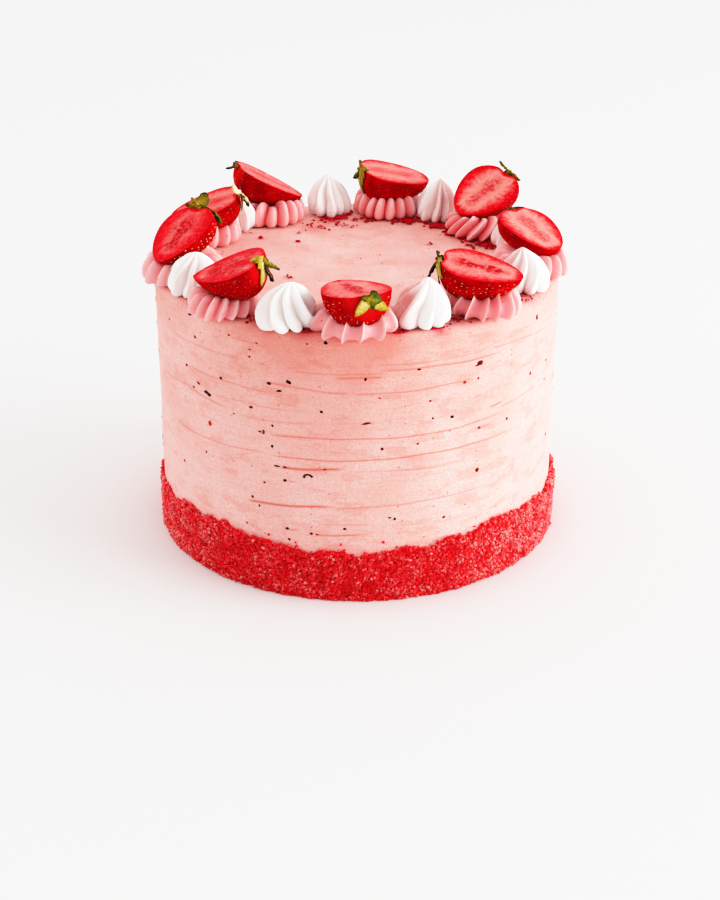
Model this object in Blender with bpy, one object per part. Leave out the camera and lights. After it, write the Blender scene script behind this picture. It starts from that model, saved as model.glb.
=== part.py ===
"""Strawberry layer cake: a frosted cylinder with a band of crumbs pressed round its foot.

On its top edge stands a ring of nine piped rosettes, each with half a strawberry pressed
into it, and nine meringue kisses between them.

The origin is the centre of the cake's base, +Z is up and -Y is the cake's front. Sizes
are in metres. Azimuths turn from +X towards +Y, so the front is at -90 degrees.
"""
import math
from collections import namedtuple

import bpy

MM = 0.001
GAP = 0.3 * MM                       # left between pieces that touch

CAKE_RADIUS = 84 * MM
CAKE_HEIGHT = 113 * MM
CAKE_RIM_RADIUS = 2.5 * MM           # rounding of the top edge
CAKE_SEGMENTS = 80
CAKE_RIM_STEPS = 3
TOPPING_BASE = CAKE_HEIGHT + GAP

CRUMB_THICKNESS = 2.2 * MM
CRUMB_SEGMENTS = 100
CRUMB_MEAN_HEIGHT = 22.9 * MM
CRUMB_RISE = 2.0 * MM                # the band is higher between its front, back and sides
CrumbWave = namedtuple("CrumbWave", "count height phase")
CRUMB_WAVES = (CrumbWave(8, 0.7 * MM, -20), CrumbWave(22, 1.0 * MM, -42))

ROSETTE_HEIGHT = 10 * MM
ROSETTE_GROOVE = 3.2 * MM            # how far the hollows lie inside the ridges
ROSETTE_TWIST = 8                    # degrees that a ridge turns from foot to top
# Parts of the height, and of the radius there: a foot, a bulge and a narrower crown.
ROSETTE_PROFILE = ((0.0, 0.90), (0.22, 1.0), (0.62, 0.93), (1.0, 0.76))
ROSETTE_CROWN_DROP = 0.72            # height of the hollows at the crown, part of the ridges'

# Parts of the height, and of the radius there: a bulging foot that narrows to the peak.
KISS_PROFILE = ((0.0, 0.88), (0.18, 1.0), (0.45, 0.9), (0.68, 0.64), (0.88, 0.26))
KISS_RIBS = 9
KISS_GROOVE = 0.16                   # part of the radius there
KISS_TWIST = 30                      # degrees that a rib turns from foot to peak
KISS_CLEARANCE = 0.8 * MM            # between a kiss and the rosette that gives way to it

BERRY_STATIONS = 9
BERRY_STEPS = 8                      # flats round the half circle of a section
BERRY_WIDEST = 0.36                  # where it is widest, part of the length from the stem
SEAT_RISE = 15 * MM                  # a berry pushes aside all the cream above its underside

CALYX_LEAVES = 5
CALYX_POINTS_PER_LEAF = 4
CALYX_HUB = 2.4 * MM
CALYX_THICKNESS = 0.9 * MM
CALYX_LEAN = 0.12                    # how far a leaf leans back off the berry, part of its reach
CALYX_BELOW_CUT = 1.8 * MM           # the hub's centre lies this far under the cut face

# A topping stands at an azimuth in degrees on a ring whose radius, like its own sizes, is in
# millimetres.
Rosette = namedtuple("Rosette", "azimuth ring radius ridges start")
ROSETTES = (
    Rosette(-165, 72.5, 16.8, 15, 5),
    Rosette(156, 72, 15.6, 15, 0),
    Rosette(123.5, 70, 15.4, 15, 9),
    Rosette(78.5, 70, 15, 16, 4),
    Rosette(35.5, 66.5, 15.2, 14, 12),
    Rosette(-10, 72, 15.8, 14, 2),
    Rosette(-50, 75, 15.2, 14, 8),
    Rosette(-90.5, 76.5, 16.4, 12, 11),
    Rosette(-131.5, 77, 13.6, 15, 0),
)

# rise is the height of the middle of the cut face above the cake's top. heading, pitch and
# roll turn the stem-to-tip line in plan, lift its tip, and lean the cut face about it. leaf
# is how far the longest leaf reaches from the middle of the stem.
Berry = namedtuple("Berry", "azimuth ring rise heading pitch roll length width depth leaf")
BERRIES = (
    Berry(-164, 74, 19, -123, -31, -10, 31, 27, 12, 9),
    Berry(157, 70.5, 16.5, 175, -19, 9, 31.5, 25, 11.5, 8),
    Berry(123, 71, 18, 17, -29, -2, 33.5, 25.5, 12, 5),
    Berry(76, 71, 18.5, 15, -13, -7, 32, 26, 14.5, 8),
    Berry(36.5, 68.5, 18, -144, -26, 19, 31, 26.5, 11.5, 7),
    Berry(-6, 73, 17, -56, -20, 5, 30.5, 26, 11, 6),
    Berry(-51, 76, 18.5, -9, -11, -7, 32.5, 25, 14.3, 8),
    Berry(-91, 77, 16.5, 112, -7, 0, 30, 26.5, 14.3, 7),
    Berry(-129, 78, 19, 158, -20, 11, 31, 25.5, 14, 9),
)

# lean moves a kiss's peak towards +X.
Kiss = namedtuple("Kiss", "azimuth ring radius height start lean")
KISSES = (
    Kiss(-151, 74.5, 10.6, 16.5, 0, 1.8),
    Kiss(-110, 77, 11.6, 16.5, 14, 1.5),
    Kiss(-70.5, 74, 11.6, 18, 6, 2.4),
    Kiss(-25.5, 74, 10.8, 17, 20, -0.8),
    Kiss(15, 70.5, 10.5, 17.5, 9, 0.8),
    Kiss(58.5, 69, 9.6, 18.5, 3, 1.2),
    Kiss(100.5, 69.5, 10.2, 18, 16, -1.0),
    Kiss(140, 70.5, 10, 19, 28, -0.8),
    Kiss(177, 71.5, 10.4, 17.5, 11, 0.6),
)


def clear_scene():
    for obj in list(bpy.data.objects):
        bpy.data.objects.remove(obj, do_unlink=True)


def make_material(name, color, roughness, coat=0.0):
    material = bpy.data.materials.new(name)
    material.use_nodes = True
    shader = material.node_tree.nodes["Principled BSDF"]
    shader.inputs["Base Color"].default_value = (*color, 1.0)
    shader.inputs["Roughness"].default_value = roughness
    shader.inputs["Metallic"].default_value = 0.0
    shader.inputs["Coat Weight"].default_value = coat
    return material


def make_object(name, vertices, faces, material):
    mesh = bpy.data.meshes.new(name)
    mesh.from_pydata(vertices, [], faces)
    mesh.materials.append(material)
    mesh.validate()
    mesh.shade_smooth()
    mesh.set_sharp_from_angle(angle=math.radians(35))
    obj = bpy.data.objects.new(name, mesh)
    bpy.context.scene.collection.objects.link(obj)
    return obj


def ring_band(lower, upper, count):
    """Quads between two rings of vertices, given by their first indices, facing out."""
    quads = []
    for i in range(count):
        j = (i + 1) % count
        quads.append((lower + i, lower + j, upper + j, upper + i))
    return quads


def stacked_rings(rings, bottom, top):
    """A closed body through rings listed from the foot up, closed by a bottom and a top point."""
    count = len(rings[0])
    vertices = [point for ring in rings for point in ring]
    faces = []
    for level in range(len(rings) - 1):
        faces += ring_band(level * count, (level + 1) * count, count)
    vertices += [bottom, top]
    bottom_index = len(vertices) - 2
    top_index = len(vertices) - 1
    last = (len(rings) - 1) * count
    for i in range(count):
        j = (i + 1) % count
        faces.append((bottom_index, j, i))
        faces.append((top_index, last + i, last + j))
    return vertices, faces


def on_circle(radius, angle, z):
    return (radius * math.cos(angle), radius * math.sin(angle), z)


def place_on_ring(obj, topping, z):
    obj.location = on_circle(topping.ring * MM, math.radians(topping.azimuth), z)


def frosted_cake(material):
    profile = [(CAKE_RADIUS, 0.0)]
    for step in range(CAKE_RIM_STEPS + 1):
        turn = math.radians(90) * step / CAKE_RIM_STEPS
        radius = CAKE_RADIUS - CAKE_RIM_RADIUS * (1 - math.cos(turn))
        profile.append((radius, CAKE_HEIGHT - CAKE_RIM_RADIUS * (1 - math.sin(turn))))
    angles = [math.tau * i / CAKE_SEGMENTS for i in range(CAKE_SEGMENTS)]
    rings = [[on_circle(radius, angle, z) for angle in angles] for radius, z in profile]
    make_object("frosted_cake", *stacked_rings(rings, (0, 0, 0), (0, 0, CAKE_HEIGHT)), material)


def crumb_height(angle):
    height = CRUMB_MEAN_HEIGHT - CRUMB_RISE * math.cos(4 * angle)
    for wave in CRUMB_WAVES:
        height += wave.height * math.cos(wave.count * angle + math.radians(wave.phase))
    return height


def crumb_border(material):
    """A ring with an uneven, rounded top edge, standing on the same surface as the cake."""
    inner = CAKE_RADIUS + GAP
    outer = inner + CRUMB_THICKNESS
    section = 5
    vertices = []
    for i in range(CRUMB_SEGMENTS):
        angle = math.tau * i / CRUMB_SEGMENTS
        height = crumb_height(angle)
        vertices.append(on_circle(inner, angle, 0.0))
        vertices.append(on_circle(outer, angle, 0.0))
        vertices.append(on_circle(outer, angle, height - 2 * MM))
        vertices.append(on_circle(outer - 1 * MM, angle, height - 0.5 * MM))
        vertices.append(on_circle(inner, angle, height))
    faces = []
    for i in range(CRUMB_SEGMENTS):
        here = i * section
        there = (i + 1) % CRUMB_SEGMENTS * section
        for k in range(section):
            n = (k + 1) % section
            faces.append((here + k, there + k, there + n, here + n))
    make_object("crumb_border", vertices, faces, material)


def rosette_mesh(rosette):
    """A squat piped star: sharp ridges with a hollow between each two."""
    count = 2 * rosette.ridges
    rings = []
    for part, scale in ROSETTE_PROFILE:
        ring = []
        for i in range(count):
            is_hollow = i % 2
            angle = math.tau * i / count + math.radians(rosette.start + ROSETTE_TWIST * part)
            radius = rosette.radius * MM * scale - ROSETTE_GROOVE * is_hollow
            height = ROSETTE_HEIGHT * part
            if is_hollow and part == 1.0:
                height *= ROSETTE_CROWN_DROP
            ring.append(on_circle(radius, angle, height))
        rings.append(ring)
    crown = ROSETTE_HEIGHT * ROSETTE_CROWN_DROP
    return stacked_rings(rings, (0, 0, 0), (0, 0, crown))


def kiss_mesh(kiss, extra=0.0):
    """A meringue drop: round ribs that turn a little and run together in a leaning peak."""
    radius = kiss.radius * MM + extra
    tall = kiss.height * MM
    count = 2 * KISS_RIBS
    rings = []
    for part, scale in KISS_PROFILE:
        ring = []
        for i in range(count):
            angle = math.tau * i / count + math.radians(kiss.start + KISS_TWIST * part)
            reach = radius * scale * (1 - KISS_GROOVE * (i % 2))
            x, y, z = on_circle(reach, angle, tall * part)
            ring.append((x + kiss.lean * MM * part ** 2, y, z))
        rings.append(ring)
    peak = (kiss.lean * MM, 0, tall + extra)
    return stacked_rings(rings, (0, 0, -extra), peak)


def berry_width(part):
    """The outline's half width, part of the widest, at a part of the length from the stem."""
    if part < BERRY_WIDEST:
        return (1 - ((BERRY_WIDEST - part) / BERRY_WIDEST) ** 2.3) ** 0.5
    return (1 - ((part - BERRY_WIDEST) / (1 - BERRY_WIDEST)) ** 1.7) ** 0.66


def berry_section(berry, part, grow, rise):
    """A section across half a strawberry: a half round below, and straight sides up to rise."""
    wide = berry_width(part)
    half_width = (berry.width * MM / 2 + grow) * wide
    depth = (berry.depth * MM + 2 * grow) * wide
    x = (part - 0.5) * (berry.length * MM + 2 * grow)
    section = []
    for step in range(BERRY_STEPS + 1):
        turn = math.pi * step / BERRY_STEPS
        section.append((x, -half_width * math.cos(turn), grow - depth * math.sin(turn)))
    if rise:
        section.append((x, half_width, rise))
        section.append((x, -half_width, rise))
    return section


def berry_mesh(berry, grow=0.0, rise=0.0):
    """Half a strawberry, +X from stem to tip, its cut face on top at z = 0."""
    parts = [(1 - math.cos(math.pi * i / BERRY_STATIONS)) / 2 for i in range(1, BERRY_STATIONS)]
    sections = [berry_section(berry, part, grow, rise) for part in parts]
    end = berry.length * MM / 2 + grow
    return stacked_rings(sections, (-end, 0, grow), (end, 0, grow))


def calyx_reach(berry, part):
    """How far the crown reaches at a part of its turn: leaves on the skin side only."""
    skin_side = 0.5 - 0.5 * math.cos(math.tau * part)
    lobe = abs(math.sin(math.pi * CALYX_LEAVES * part))
    return CALYX_HUB + (berry.leaf * MM - CALYX_HUB) * skin_side ** 0.5 * lobe ** 1.3


def calyx_mesh(berry):
    """The leaf crown behind the stem end: a thin star that leans back off the berry."""
    front = -berry.length * MM / 2 - GAP
    back = front - CALYX_THICKNESS
    count = CALYX_LEAVES * CALYX_POINTS_PER_LEAF
    rings = []
    for x in (back, front):
        ring = []
        for i in range(count):
            angle = math.tau * i / count
            reach = calyx_reach(berry, i / count)
            y = -reach * math.sin(angle)
            z = reach * math.cos(angle) - CALYX_BELOW_CUT
            ring.append((x - CALYX_LEAN * reach, y, z))
        rings.append(ring)
    return stacked_rings(rings, (back, 0, -CALYX_BELOW_CUT), (front, 0, -CALYX_BELOW_CUT))


def lay_berry(obj, berry):
    place_on_ring(obj, berry, CAKE_HEIGHT + berry.rise * MM)
    obj.rotation_euler = [math.radians(turn) for turn in (-berry.roll, -berry.pitch, berry.heading)]


def cut_with(obj, cutter):
    cutter.hide_render = True
    cutter.display_type = "WIRE"
    cut = obj.modifiers.new("cut by " + cutter.name, "BOOLEAN")
    cut.operation = "DIFFERENCE"
    cut.solver = "EXACT"
    cut.object = cutter


def apart(first, second):
    """The distance in plan between the middles of two toppings."""
    places = [on_circle(spot.ring * MM, math.radians(spot.azimuth), 0) for spot in (first, second)]
    return math.dist(*places)


def rosette(number, spot, berry, cream):
    """A rosette gives way to the half berry pressed into it and to the kisses beside it."""
    body = make_object(f"rosette_{number}", *rosette_mesh(spot), cream)
    place_on_ring(body, spot, TOPPING_BASE)
    seat = make_object(f"berry_seat_{number}", *berry_mesh(berry, GAP, SEAT_RISE), cream)
    lay_berry(seat, berry)
    cut_with(body, seat)
    for kiss in KISSES:
        if apart(spot, kiss) < (spot.radius + kiss.radius) * MM + KISS_CLEARANCE:
            dent = make_object(f"kiss_seat_{number}", *kiss_mesh(kiss, KISS_CLEARANCE), cream)
            place_on_ring(dent, kiss, TOPPING_BASE)
            cut_with(body, dent)


def rosettes_and_berries(cream, flesh, leaf):
    for number, (spot, berry) in enumerate(zip(ROSETTES, BERRIES), start=1):
        rosette(number, spot, berry, cream)
        lay_berry(make_object(f"strawberry_{number}", *berry_mesh(berry), flesh), berry)
        lay_berry(make_object(f"calyx_{number}", *calyx_mesh(berry), leaf), berry)


def meringue_kisses(material):
    for number, kiss in enumerate(KISSES, start=1):
        body = make_object(f"meringue_{number}", *kiss_mesh(kiss), material)
        place_on_ring(body, kiss, TOPPING_BASE)


def main():
    clear_scene()
    frosted_cake(make_material("pale pink buttercream", (0.91, 0.56, 0.51), 0.55))
    crumb_border(make_material("red crumbs", (0.62, 0.02, 0.03), 0.85))
    rosettes_and_berries(
        make_material("piped pink buttercream", (0.82, 0.34, 0.36), 0.5),
        make_material("strawberry", (0.72, 0.02, 0.02), 0.25, coat=0.4),
        make_material("strawberry leaf", (0.20, 0.28, 0.05), 0.55),
    )
    meringue_kisses(make_material("meringue", (0.93, 0.91, 0.89), 0.6))


main()
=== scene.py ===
"""Looks of a strawberry layer cake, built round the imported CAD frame.

Every CAD node is replaced by a finer piece that stands where the node stands: a frosted
cake with scrape marks, a band of crumbs, fluted rosettes, meringue kisses, strawberry halves
with seeds, and their leaves. Specks, red flecks and loose crumbs are pieces of their own.

Sizes are in metres unless a name or comment says millimetres. Azimuths are in degrees and
turn from +X towards +Y, so the front of the cake is at -90.
"""
import math
from collections import namedtuple

import bmesh
import bpy
import numpy as np
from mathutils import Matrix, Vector
from mathutils.bvhtree import BVHTree

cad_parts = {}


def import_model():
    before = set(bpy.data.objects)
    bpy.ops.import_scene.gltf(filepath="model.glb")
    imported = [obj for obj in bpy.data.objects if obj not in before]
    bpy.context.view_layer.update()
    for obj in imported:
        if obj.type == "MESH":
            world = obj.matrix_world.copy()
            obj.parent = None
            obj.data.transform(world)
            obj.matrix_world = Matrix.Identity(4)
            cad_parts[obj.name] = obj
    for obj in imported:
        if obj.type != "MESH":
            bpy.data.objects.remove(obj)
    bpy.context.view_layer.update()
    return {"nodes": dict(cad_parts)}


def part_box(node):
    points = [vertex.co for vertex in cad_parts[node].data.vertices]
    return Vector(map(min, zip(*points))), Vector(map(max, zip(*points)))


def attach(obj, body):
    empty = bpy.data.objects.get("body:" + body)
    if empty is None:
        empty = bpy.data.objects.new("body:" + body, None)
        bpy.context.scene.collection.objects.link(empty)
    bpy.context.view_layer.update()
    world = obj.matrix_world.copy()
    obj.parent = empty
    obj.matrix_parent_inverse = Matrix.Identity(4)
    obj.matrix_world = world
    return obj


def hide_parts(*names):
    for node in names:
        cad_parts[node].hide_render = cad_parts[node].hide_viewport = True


MM = 0.001
TOPPINGS = 9                      # rosettes, and as many berries and kisses

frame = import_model()
CAKE_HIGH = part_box("frosted_cake")[1]
CAKE_RADIUS = CAKE_HIGH.x
CAKE_TOP = CAKE_HIGH.z
SAME_LEVEL = 0.05 * MM            # points of a node this close in height are on one flat
CIRCLE_TRIES = 10                 # rounds in which a circle is fitted to a node's foot,
CIRCLE_RIM = 0.93                 # to the points this part of the way out
NOISE_VALUES = 4096               # random numbers that smooth noise is made of,
NOISE_KEYS = (73856093, 19349663, 83492791)  # and primes that spread them over space


# ---------------------------------------------------------------- numbers and curves

def smooth_step(value, low, high):
    """0 below low, 1 above high and an even rise between them. low may be above high."""
    part = np.clip((value - low) / (high - low), 0, 1)
    return part * part * (3 - 2 * part)


def around(angle, radius):
    """Points in plan at angles in radians."""
    return np.stack([np.cos(angle) * radius, np.sin(angle) * radius], -1)


def upright(angle, radius, height):
    """Points at angles in radians, at radii from the cake's axis and at heights."""
    return np.stack(np.broadcast_arrays(np.cos(angle) * radius, np.sin(angle) * radius, height), -1)


def mixed(first, second, part):
    """The first where part is 0, the second where it is 1."""
    return first * (1 - part) + second * part


def table(kind, *rows):
    """Rows of numbers as named tuples of one kind."""
    return tuple(kind(*row) for row in rows)


def curve_through(points, count):
    """Evenly numbered points of a smooth curve that passes through the given ones."""
    knots = np.asarray(points, float)
    padded = np.vstack([2 * knots[0] - knots[1], knots, 2 * knots[-1] - knots[-2]])
    place = np.linspace(0, len(knots) - 1, count)
    span = np.minimum(place.astype(int), len(knots) - 2)
    part = (place - span)[:, None]
    a, b, c, d = (padded[span + i] for i in range(4))
    return 0.5 * (
        2 * b
        + (c - a) * part
        + (2 * a - 5 * b + 4 * c - d) * part ** 2
        + (3 * b - a - 3 * c + d) * part ** 3
    )


def even_noise(points, size, seed):
    """Smooth noise from -1 to 1 at each point; its bumps are about as wide as size."""
    values = np.random.default_rng(seed).uniform(-1, 1, NOISE_VALUES)
    place = points / size
    cell = np.floor(place).astype(np.int64)
    part = place - cell
    part = part * part * (3 - 2 * part)
    total = np.zeros(points.shape[:-1])
    for corner in np.ndindex(2, 2, 2):
        x, y, z = np.moveaxis((cell + corner) * NOISE_KEYS, -1, 0)
        weight = np.prod(np.where(corner, part, 1 - part), -1)
        total += values[(x ^ y ^ z) % NOISE_VALUES] * weight
    return total


def random_turns(count, rng):
    """Rotation matrices that turn a shape every way."""
    quaternions = rng.normal(size=(4, count))
    w, x, y, z = quaternions / np.linalg.norm(quaternions, axis=0)
    rows = [
        [1 - 2 * (y * y + z * z), 2 * (x * y - z * w), 2 * (x * z + y * w)],
        [2 * (x * y + z * w), 1 - 2 * (x * x + z * z), 2 * (y * z - x * w)],
        [2 * (x * z - y * w), 2 * (y * z + x * w), 1 - 2 * (x * x + y * y)],
    ]
    return np.moveaxis(np.array(rows), -1, 0)


def frames_facing(normals, along):
    """Rotation matrices whose third axis is the normal and whose first lies near along."""
    third = normals / np.linalg.norm(normals, axis=-1, keepdims=True)
    first = along - third * (along * third).sum(-1, keepdims=True)
    first = first / np.linalg.norm(first, axis=-1, keepdims=True)
    return np.stack([first, np.cross(third, first), third], -1)


# ---------------------------------------------------------------- meshes

def ring_quads(rows, columns):
    """Quads of a sheet that closes round its columns, its rows going up, facing out."""
    base = np.arange(rows - 1)[:, None] * columns
    here = np.arange(columns)[None, :]
    there = (here + 1) % columns
    quads = [base + here, base + there, base + there + columns, base + here + columns]
    return np.stack(quads, -1).reshape(-1, 4)


def closed_body(grid, foot, top):
    """Points and faces of a body through the rows of a grid, closed by a foot and a top point."""
    rows, columns = grid.shape[:2]
    points = np.vstack([grid.reshape(-1, 3), foot, top])
    faces = ring_quads(rows, columns).tolist()
    last = (rows - 1) * columns
    for i in range(columns):
        j = (i + 1) % columns
        faces.append((rows * columns, j, i))
        faces.append((rows * columns + 1, last + i, last + j))
    return points, faces


def make_piece(name, points, faces, *materials):
    """A smooth mesh that moves with the part's only body."""
    mesh = bpy.data.meshes.new(name)
    faces = faces if isinstance(faces, list) else faces.tolist()
    mesh.from_pydata(np.asarray(points).tolist(), [], faces)
    for material in materials:
        mesh.materials.append(material)
    mesh.shade_smooth()
    piece = bpy.data.objects.new(name, mesh)
    bpy.context.scene.collection.objects.link(piece)
    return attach(piece, "root")


def paint(piece, name, values):
    """Stores one number for each vertex, which the piece's material reads."""
    layer = piece.data.attributes.new(name, "FLOAT", "POINT")
    layer.data.foreach_set("value", np.asarray(values, np.float32).ravel())


def ball(subdivisions):
    """Points and triangles of a ball of radius 1."""
    shape = bmesh.new()
    bmesh.ops.create_icosphere(shape, subdivisions=subdivisions, radius=1)
    points = np.array([vertex.co[:] for vertex in shape.verts])
    faces = np.array([[vertex.index for vertex in face.verts] for face in shape.faces])
    shape.free()
    return points, faces


def octahedron():
    """Points and triangles of an octahedron of radius 1."""
    points = np.vstack([np.eye(3), -np.eye(3)])
    faces = []
    for x, y, z in np.ndindex(2, 2, 2):
        corners = (3 * x, 1 + 3 * y, 2 + 3 * z)
        faces.append(corners if (x + y + z) % 2 == 0 else corners[::-1])
    return points, np.array(faces)


def scatter(shape, centres, frames, sizes, jitter, rng):
    """Copies of a small shape, each uneven in its own way, as one set of points and faces."""
    corners, triangles = shape
    count = len(centres)
    local = corners * (1 + jitter * rng.uniform(-1, 1, (count, len(corners), 1)))
    local = local * np.asarray(sizes)[:, None, :]
    points = np.einsum("nij,nkj->nki", frames, local) + np.asarray(centres)[:, None, :]
    faces = triangles + len(corners) * np.arange(count)[:, None, None]
    return points.reshape(-1, 3), faces.reshape(-1, 3)


def node_points(name):
    """The points of a node of the CAD frame."""
    mesh = frame["nodes"][name].data
    points = np.empty(3 * len(mesh.vertices))
    mesh.vertices.foreach_get("co", points)
    return points.reshape(-1, 3)


def foot_circle(name):
    """Centre and radius, in plan, of the circle round the foot of a topping's node."""
    points = node_points(name)
    foot = points[points[:, 2] < points[:, 2].min() + SAME_LEVEL][:, :2]
    centre = foot.mean(0)
    for _ in range(CIRCLE_TRIES):
        reach = np.linalg.norm(foot - centre, axis=1)
        outer = foot[reach > CIRCLE_RIM * reach.max()]
        system = np.column_stack([2 * outer, np.ones(len(outer))])
        fit = np.linalg.lstsq(system, (outer ** 2).sum(1), rcond=None)[0]
        centre = fit[:2]
    return centre, math.sqrt(fit[2] + centre @ centre)


# ---------------------------------------------------------------- materials

def srgb(red, green, blue):
    """A linear colour from the 0 to 255 values that a screen shows."""
    shown = np.array([red, green, blue]) / 255
    linear = np.where(shown <= 0.04045, shown / 12.92, ((shown + 0.055) / 1.055) ** 2.4)
    return (*linear.tolist(), 1.0)


class Nodes:
    """The shader nodes of a material or of the world, and short ways to add more."""

    def __init__(self, tree):
        self.tree = tree
        self.place = self.add("TexCoord").outputs["Object"]

    def add(self, kind, inputs=None, **settings):
        """A node of a kind, with its settings, and with its inputs fed by name or number."""
        node = self.tree.nodes.new("ShaderNode" + kind)
        for name, value in settings.items():
            setattr(node, name, value)
        for label, value in (inputs or {}).items():
            self.feed(node.inputs[label], value)
        return node

    def feed(self, socket, value):
        """Links a socket to another one, or gives it a fixed value."""
        if isinstance(value, bpy.types.NodeSocket):
            self.tree.links.new(value, socket)
        else:
            socket.default_value = value

    def stretched(self, across, up):
        """The place, with its plan and its height scaled by their own amounts."""
        inputs = {0: self.place, 1: (across, across, up)}
        return self.add("VectorMath", inputs, operation="MULTIPLY").outputs[0]

    def noise(self, size, detail=2.0, roughness=0.5, place=None):
        """Cloudy noise from 0 to 1, with clouds about as wide as size."""
        inputs = {"Vector": place or self.place, "Scale": 1 / size, "Detail": detail}
        return self.add("TexNoise", {**inputs, "Roughness": roughness}).outputs["Fac"]

    def painted(self, name):
        """The numbers that paint() stored on the piece."""
        return self.add("Attribute", attribute_name=name).outputs["Fac"]

    def span(self, value, low, high, bottom=0.0, top=1.0):
        """The value moved from low..high to bottom..top, and kept there."""
        inputs = {"Value": value, "From Min": low, "From Max": high, "To Min": bottom, "To Max": top}
        return self.add("MapRange", inputs, interpolation_type="SMOOTHSTEP").outputs["Result"]

    def math(self, operation, first, second):
        """Two values combined: operation is ADD or MULTIPLY."""
        return self.add("Math", {0: first, 1: second}, operation=operation).outputs[0]

    def dots(self, size, reach, rarity, strength):
        """Small dots, one at most in each cell of a size. reach and rarity are spans."""
        cells = self.add("TexVoronoi", {"Vector": self.place, "Scale": 1 / size})
        near = self.span(cells.outputs["Distance"], *reach)
        return self.math("MULTIPLY", near, self.span(cells.outputs["Color"], *rarity, 0, strength))

    def mix(self, factor, first, second):
        """The first colour where the factor is 0, the second where it is 1."""
        return self.add("Mix", {"Factor": factor, 6: first, 7: second}, data_type="RGBA").outputs[2]

    def ramp(self, factor, *stops):
        """Colours at places from 0 to 1, each given as (place, red, green, blue)."""
        node = self.add("ValToRGB", {"Fac": factor})
        elements = node.color_ramp.elements
        while len(elements) < len(stops):
            elements.new(1.0)
        for element, (place, *color) in zip(elements, stops):
            element.position = place
            element.color = srgb(*color)
        return node.outputs["Color"]


class Recipe(Nodes):
    """A material in the making: its Principled shader, its colour so far, and their nodes."""

    def __init__(self, name, **settings):
        self.material = bpy.data.materials.new(name)
        self.material.use_nodes = True
        super().__init__(self.material.node_tree)
        self.shader = self.tree.nodes["Principled BSDF"]
        self.color = None
        for label, value in settings.items():
            self.feed(self.shader.inputs[label.replace("_", " ")], value)

    def soft(self, weight, reach, depth):
        """Lets light in: how much of it, how far each colour goes, and how deep in millimetres."""
        self.feed(self.shader.inputs["Subsurface Weight"], weight)
        self.feed(self.shader.inputs["Subsurface Radius"], reach)
        self.feed(self.shader.inputs["Subsurface Scale"], depth * MM)

    def bumps(self, *layers):
        """Surface relief from (height, distance) layers, the coarsest first."""
        normal = None
        for height, distance in layers:
            node = self.add("Bump", {"Height": height, "Distance": distance})
            if normal:
                self.feed(node.inputs["Normal"], normal)
            normal = node.outputs["Normal"]
        self.feed(self.shader.inputs["Normal"], normal)

    def tint(self, factor, red, green, blue):
        """Turns the colour so far into another one where the factor is 1."""
        self.color = self.mix(factor, self.color, srgb(red, green, blue))

    def finish(self):
        """Shows the colour so far and returns the material."""
        self.feed(self.shader.inputs["Base Color"], self.color)
        return self.material


def buttercream_material():
    """Pale pink cream with darker scrape marks, faint level streaks and tiny red dots, redder and
    darker high up on the side and on the front: partly red stain, partly painted shade.
    """
    recipe = Recipe("pale_pink_buttercream", Roughness=0.62, Specular_IOR_Level=0.25, Sheen_Weight=0.18)
    streaks = recipe.noise(1.1 * MM, 3, 0.6, recipe.stretched(0.09, 1.0))
    clouds = recipe.noise(16 * MM, 3, 0.55, recipe.stretched(0.6, 1.0))
    blotches = recipe.noise(5 * MM, 4, 0.65, recipe.stretched(0.4, 1.0))
    grain = recipe.noise(0.55 * MM, 2, 0.7)
    recipe.color = srgb(250, 199, 193)
    recipe.tint(recipe.span(clouds, 0.35, 0.68), 246, 183, 175)
    recipe.tint(recipe.span(streaks, 0.52, 0.72, 0, 0.34), 236, 146, 132)
    recipe.tint(recipe.span(streaks, 0.45, 0.28, 0, 0.3), 252, 210, 202)
    recipe.tint(recipe.span(blotches, 0.52, 0.62, 0, 0.34), 232, 126, 110)
    recipe.tint(recipe.span(grain, 0.44, 0.6, 0, 0.5), 230, 144, 130)
    recipe.tint(recipe.span(grain, 0.4, 0.3, 0, 0.4), 253, 222, 216)
    recipe.tint(recipe.dots(3.4 * MM, (0.17, 0.07), (0.45, 0.7), 0.75), 210, 78, 68)
    # scrape marks, and the side's redder, darker parts under the toppings: partly red stain, partly
    # painted shade
    recipe.tint(recipe.painted("scrape"), 224, 100, 80)
    recipe.tint(recipe.painted("stain"), 196, 30, 50)
    recipe.bumps((streaks, 0.10 * MM), (grain, 0.12 * MM))
    return recipe.finish()


def piped_material():
    """Rose pink piped cream with a painted highlight on its narrow ridges, hollows that are red partly
    from red dust and partly as painted shade, and a few red specks.
    """
    recipe = Recipe("piped_pink_buttercream", Roughness=0.42, Specular_IOR_Level=0.4)
    recipe.soft(0.4, (1.0, 0.35, 0.25), 1.2)
    clouds = recipe.noise(5 * MM, 3, 0.6)
    recipe.color = srgb(250, 152, 155)
    recipe.tint(clouds, 254, 177, 176)
    # red hollows: partly red dust, partly painted shade
    recipe.tint(recipe.painted("hollow"), 236, 56, 76)
    # painted highlight along the ridges
    recipe.tint(recipe.painted("ridge"), 252, 208, 206)
    recipe.tint(recipe.painted("stain"), 196, 30, 52)
    recipe.tint(recipe.dots(3.2 * MM, (0.12, 0.07), (0.55, 0.62), 0.9), 176, 26, 44)
    recipe.bumps((clouds, 0.15 * MM), (recipe.noise(0.9 * MM, 3), 0.06 * MM))
    return recipe.finish()


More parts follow.
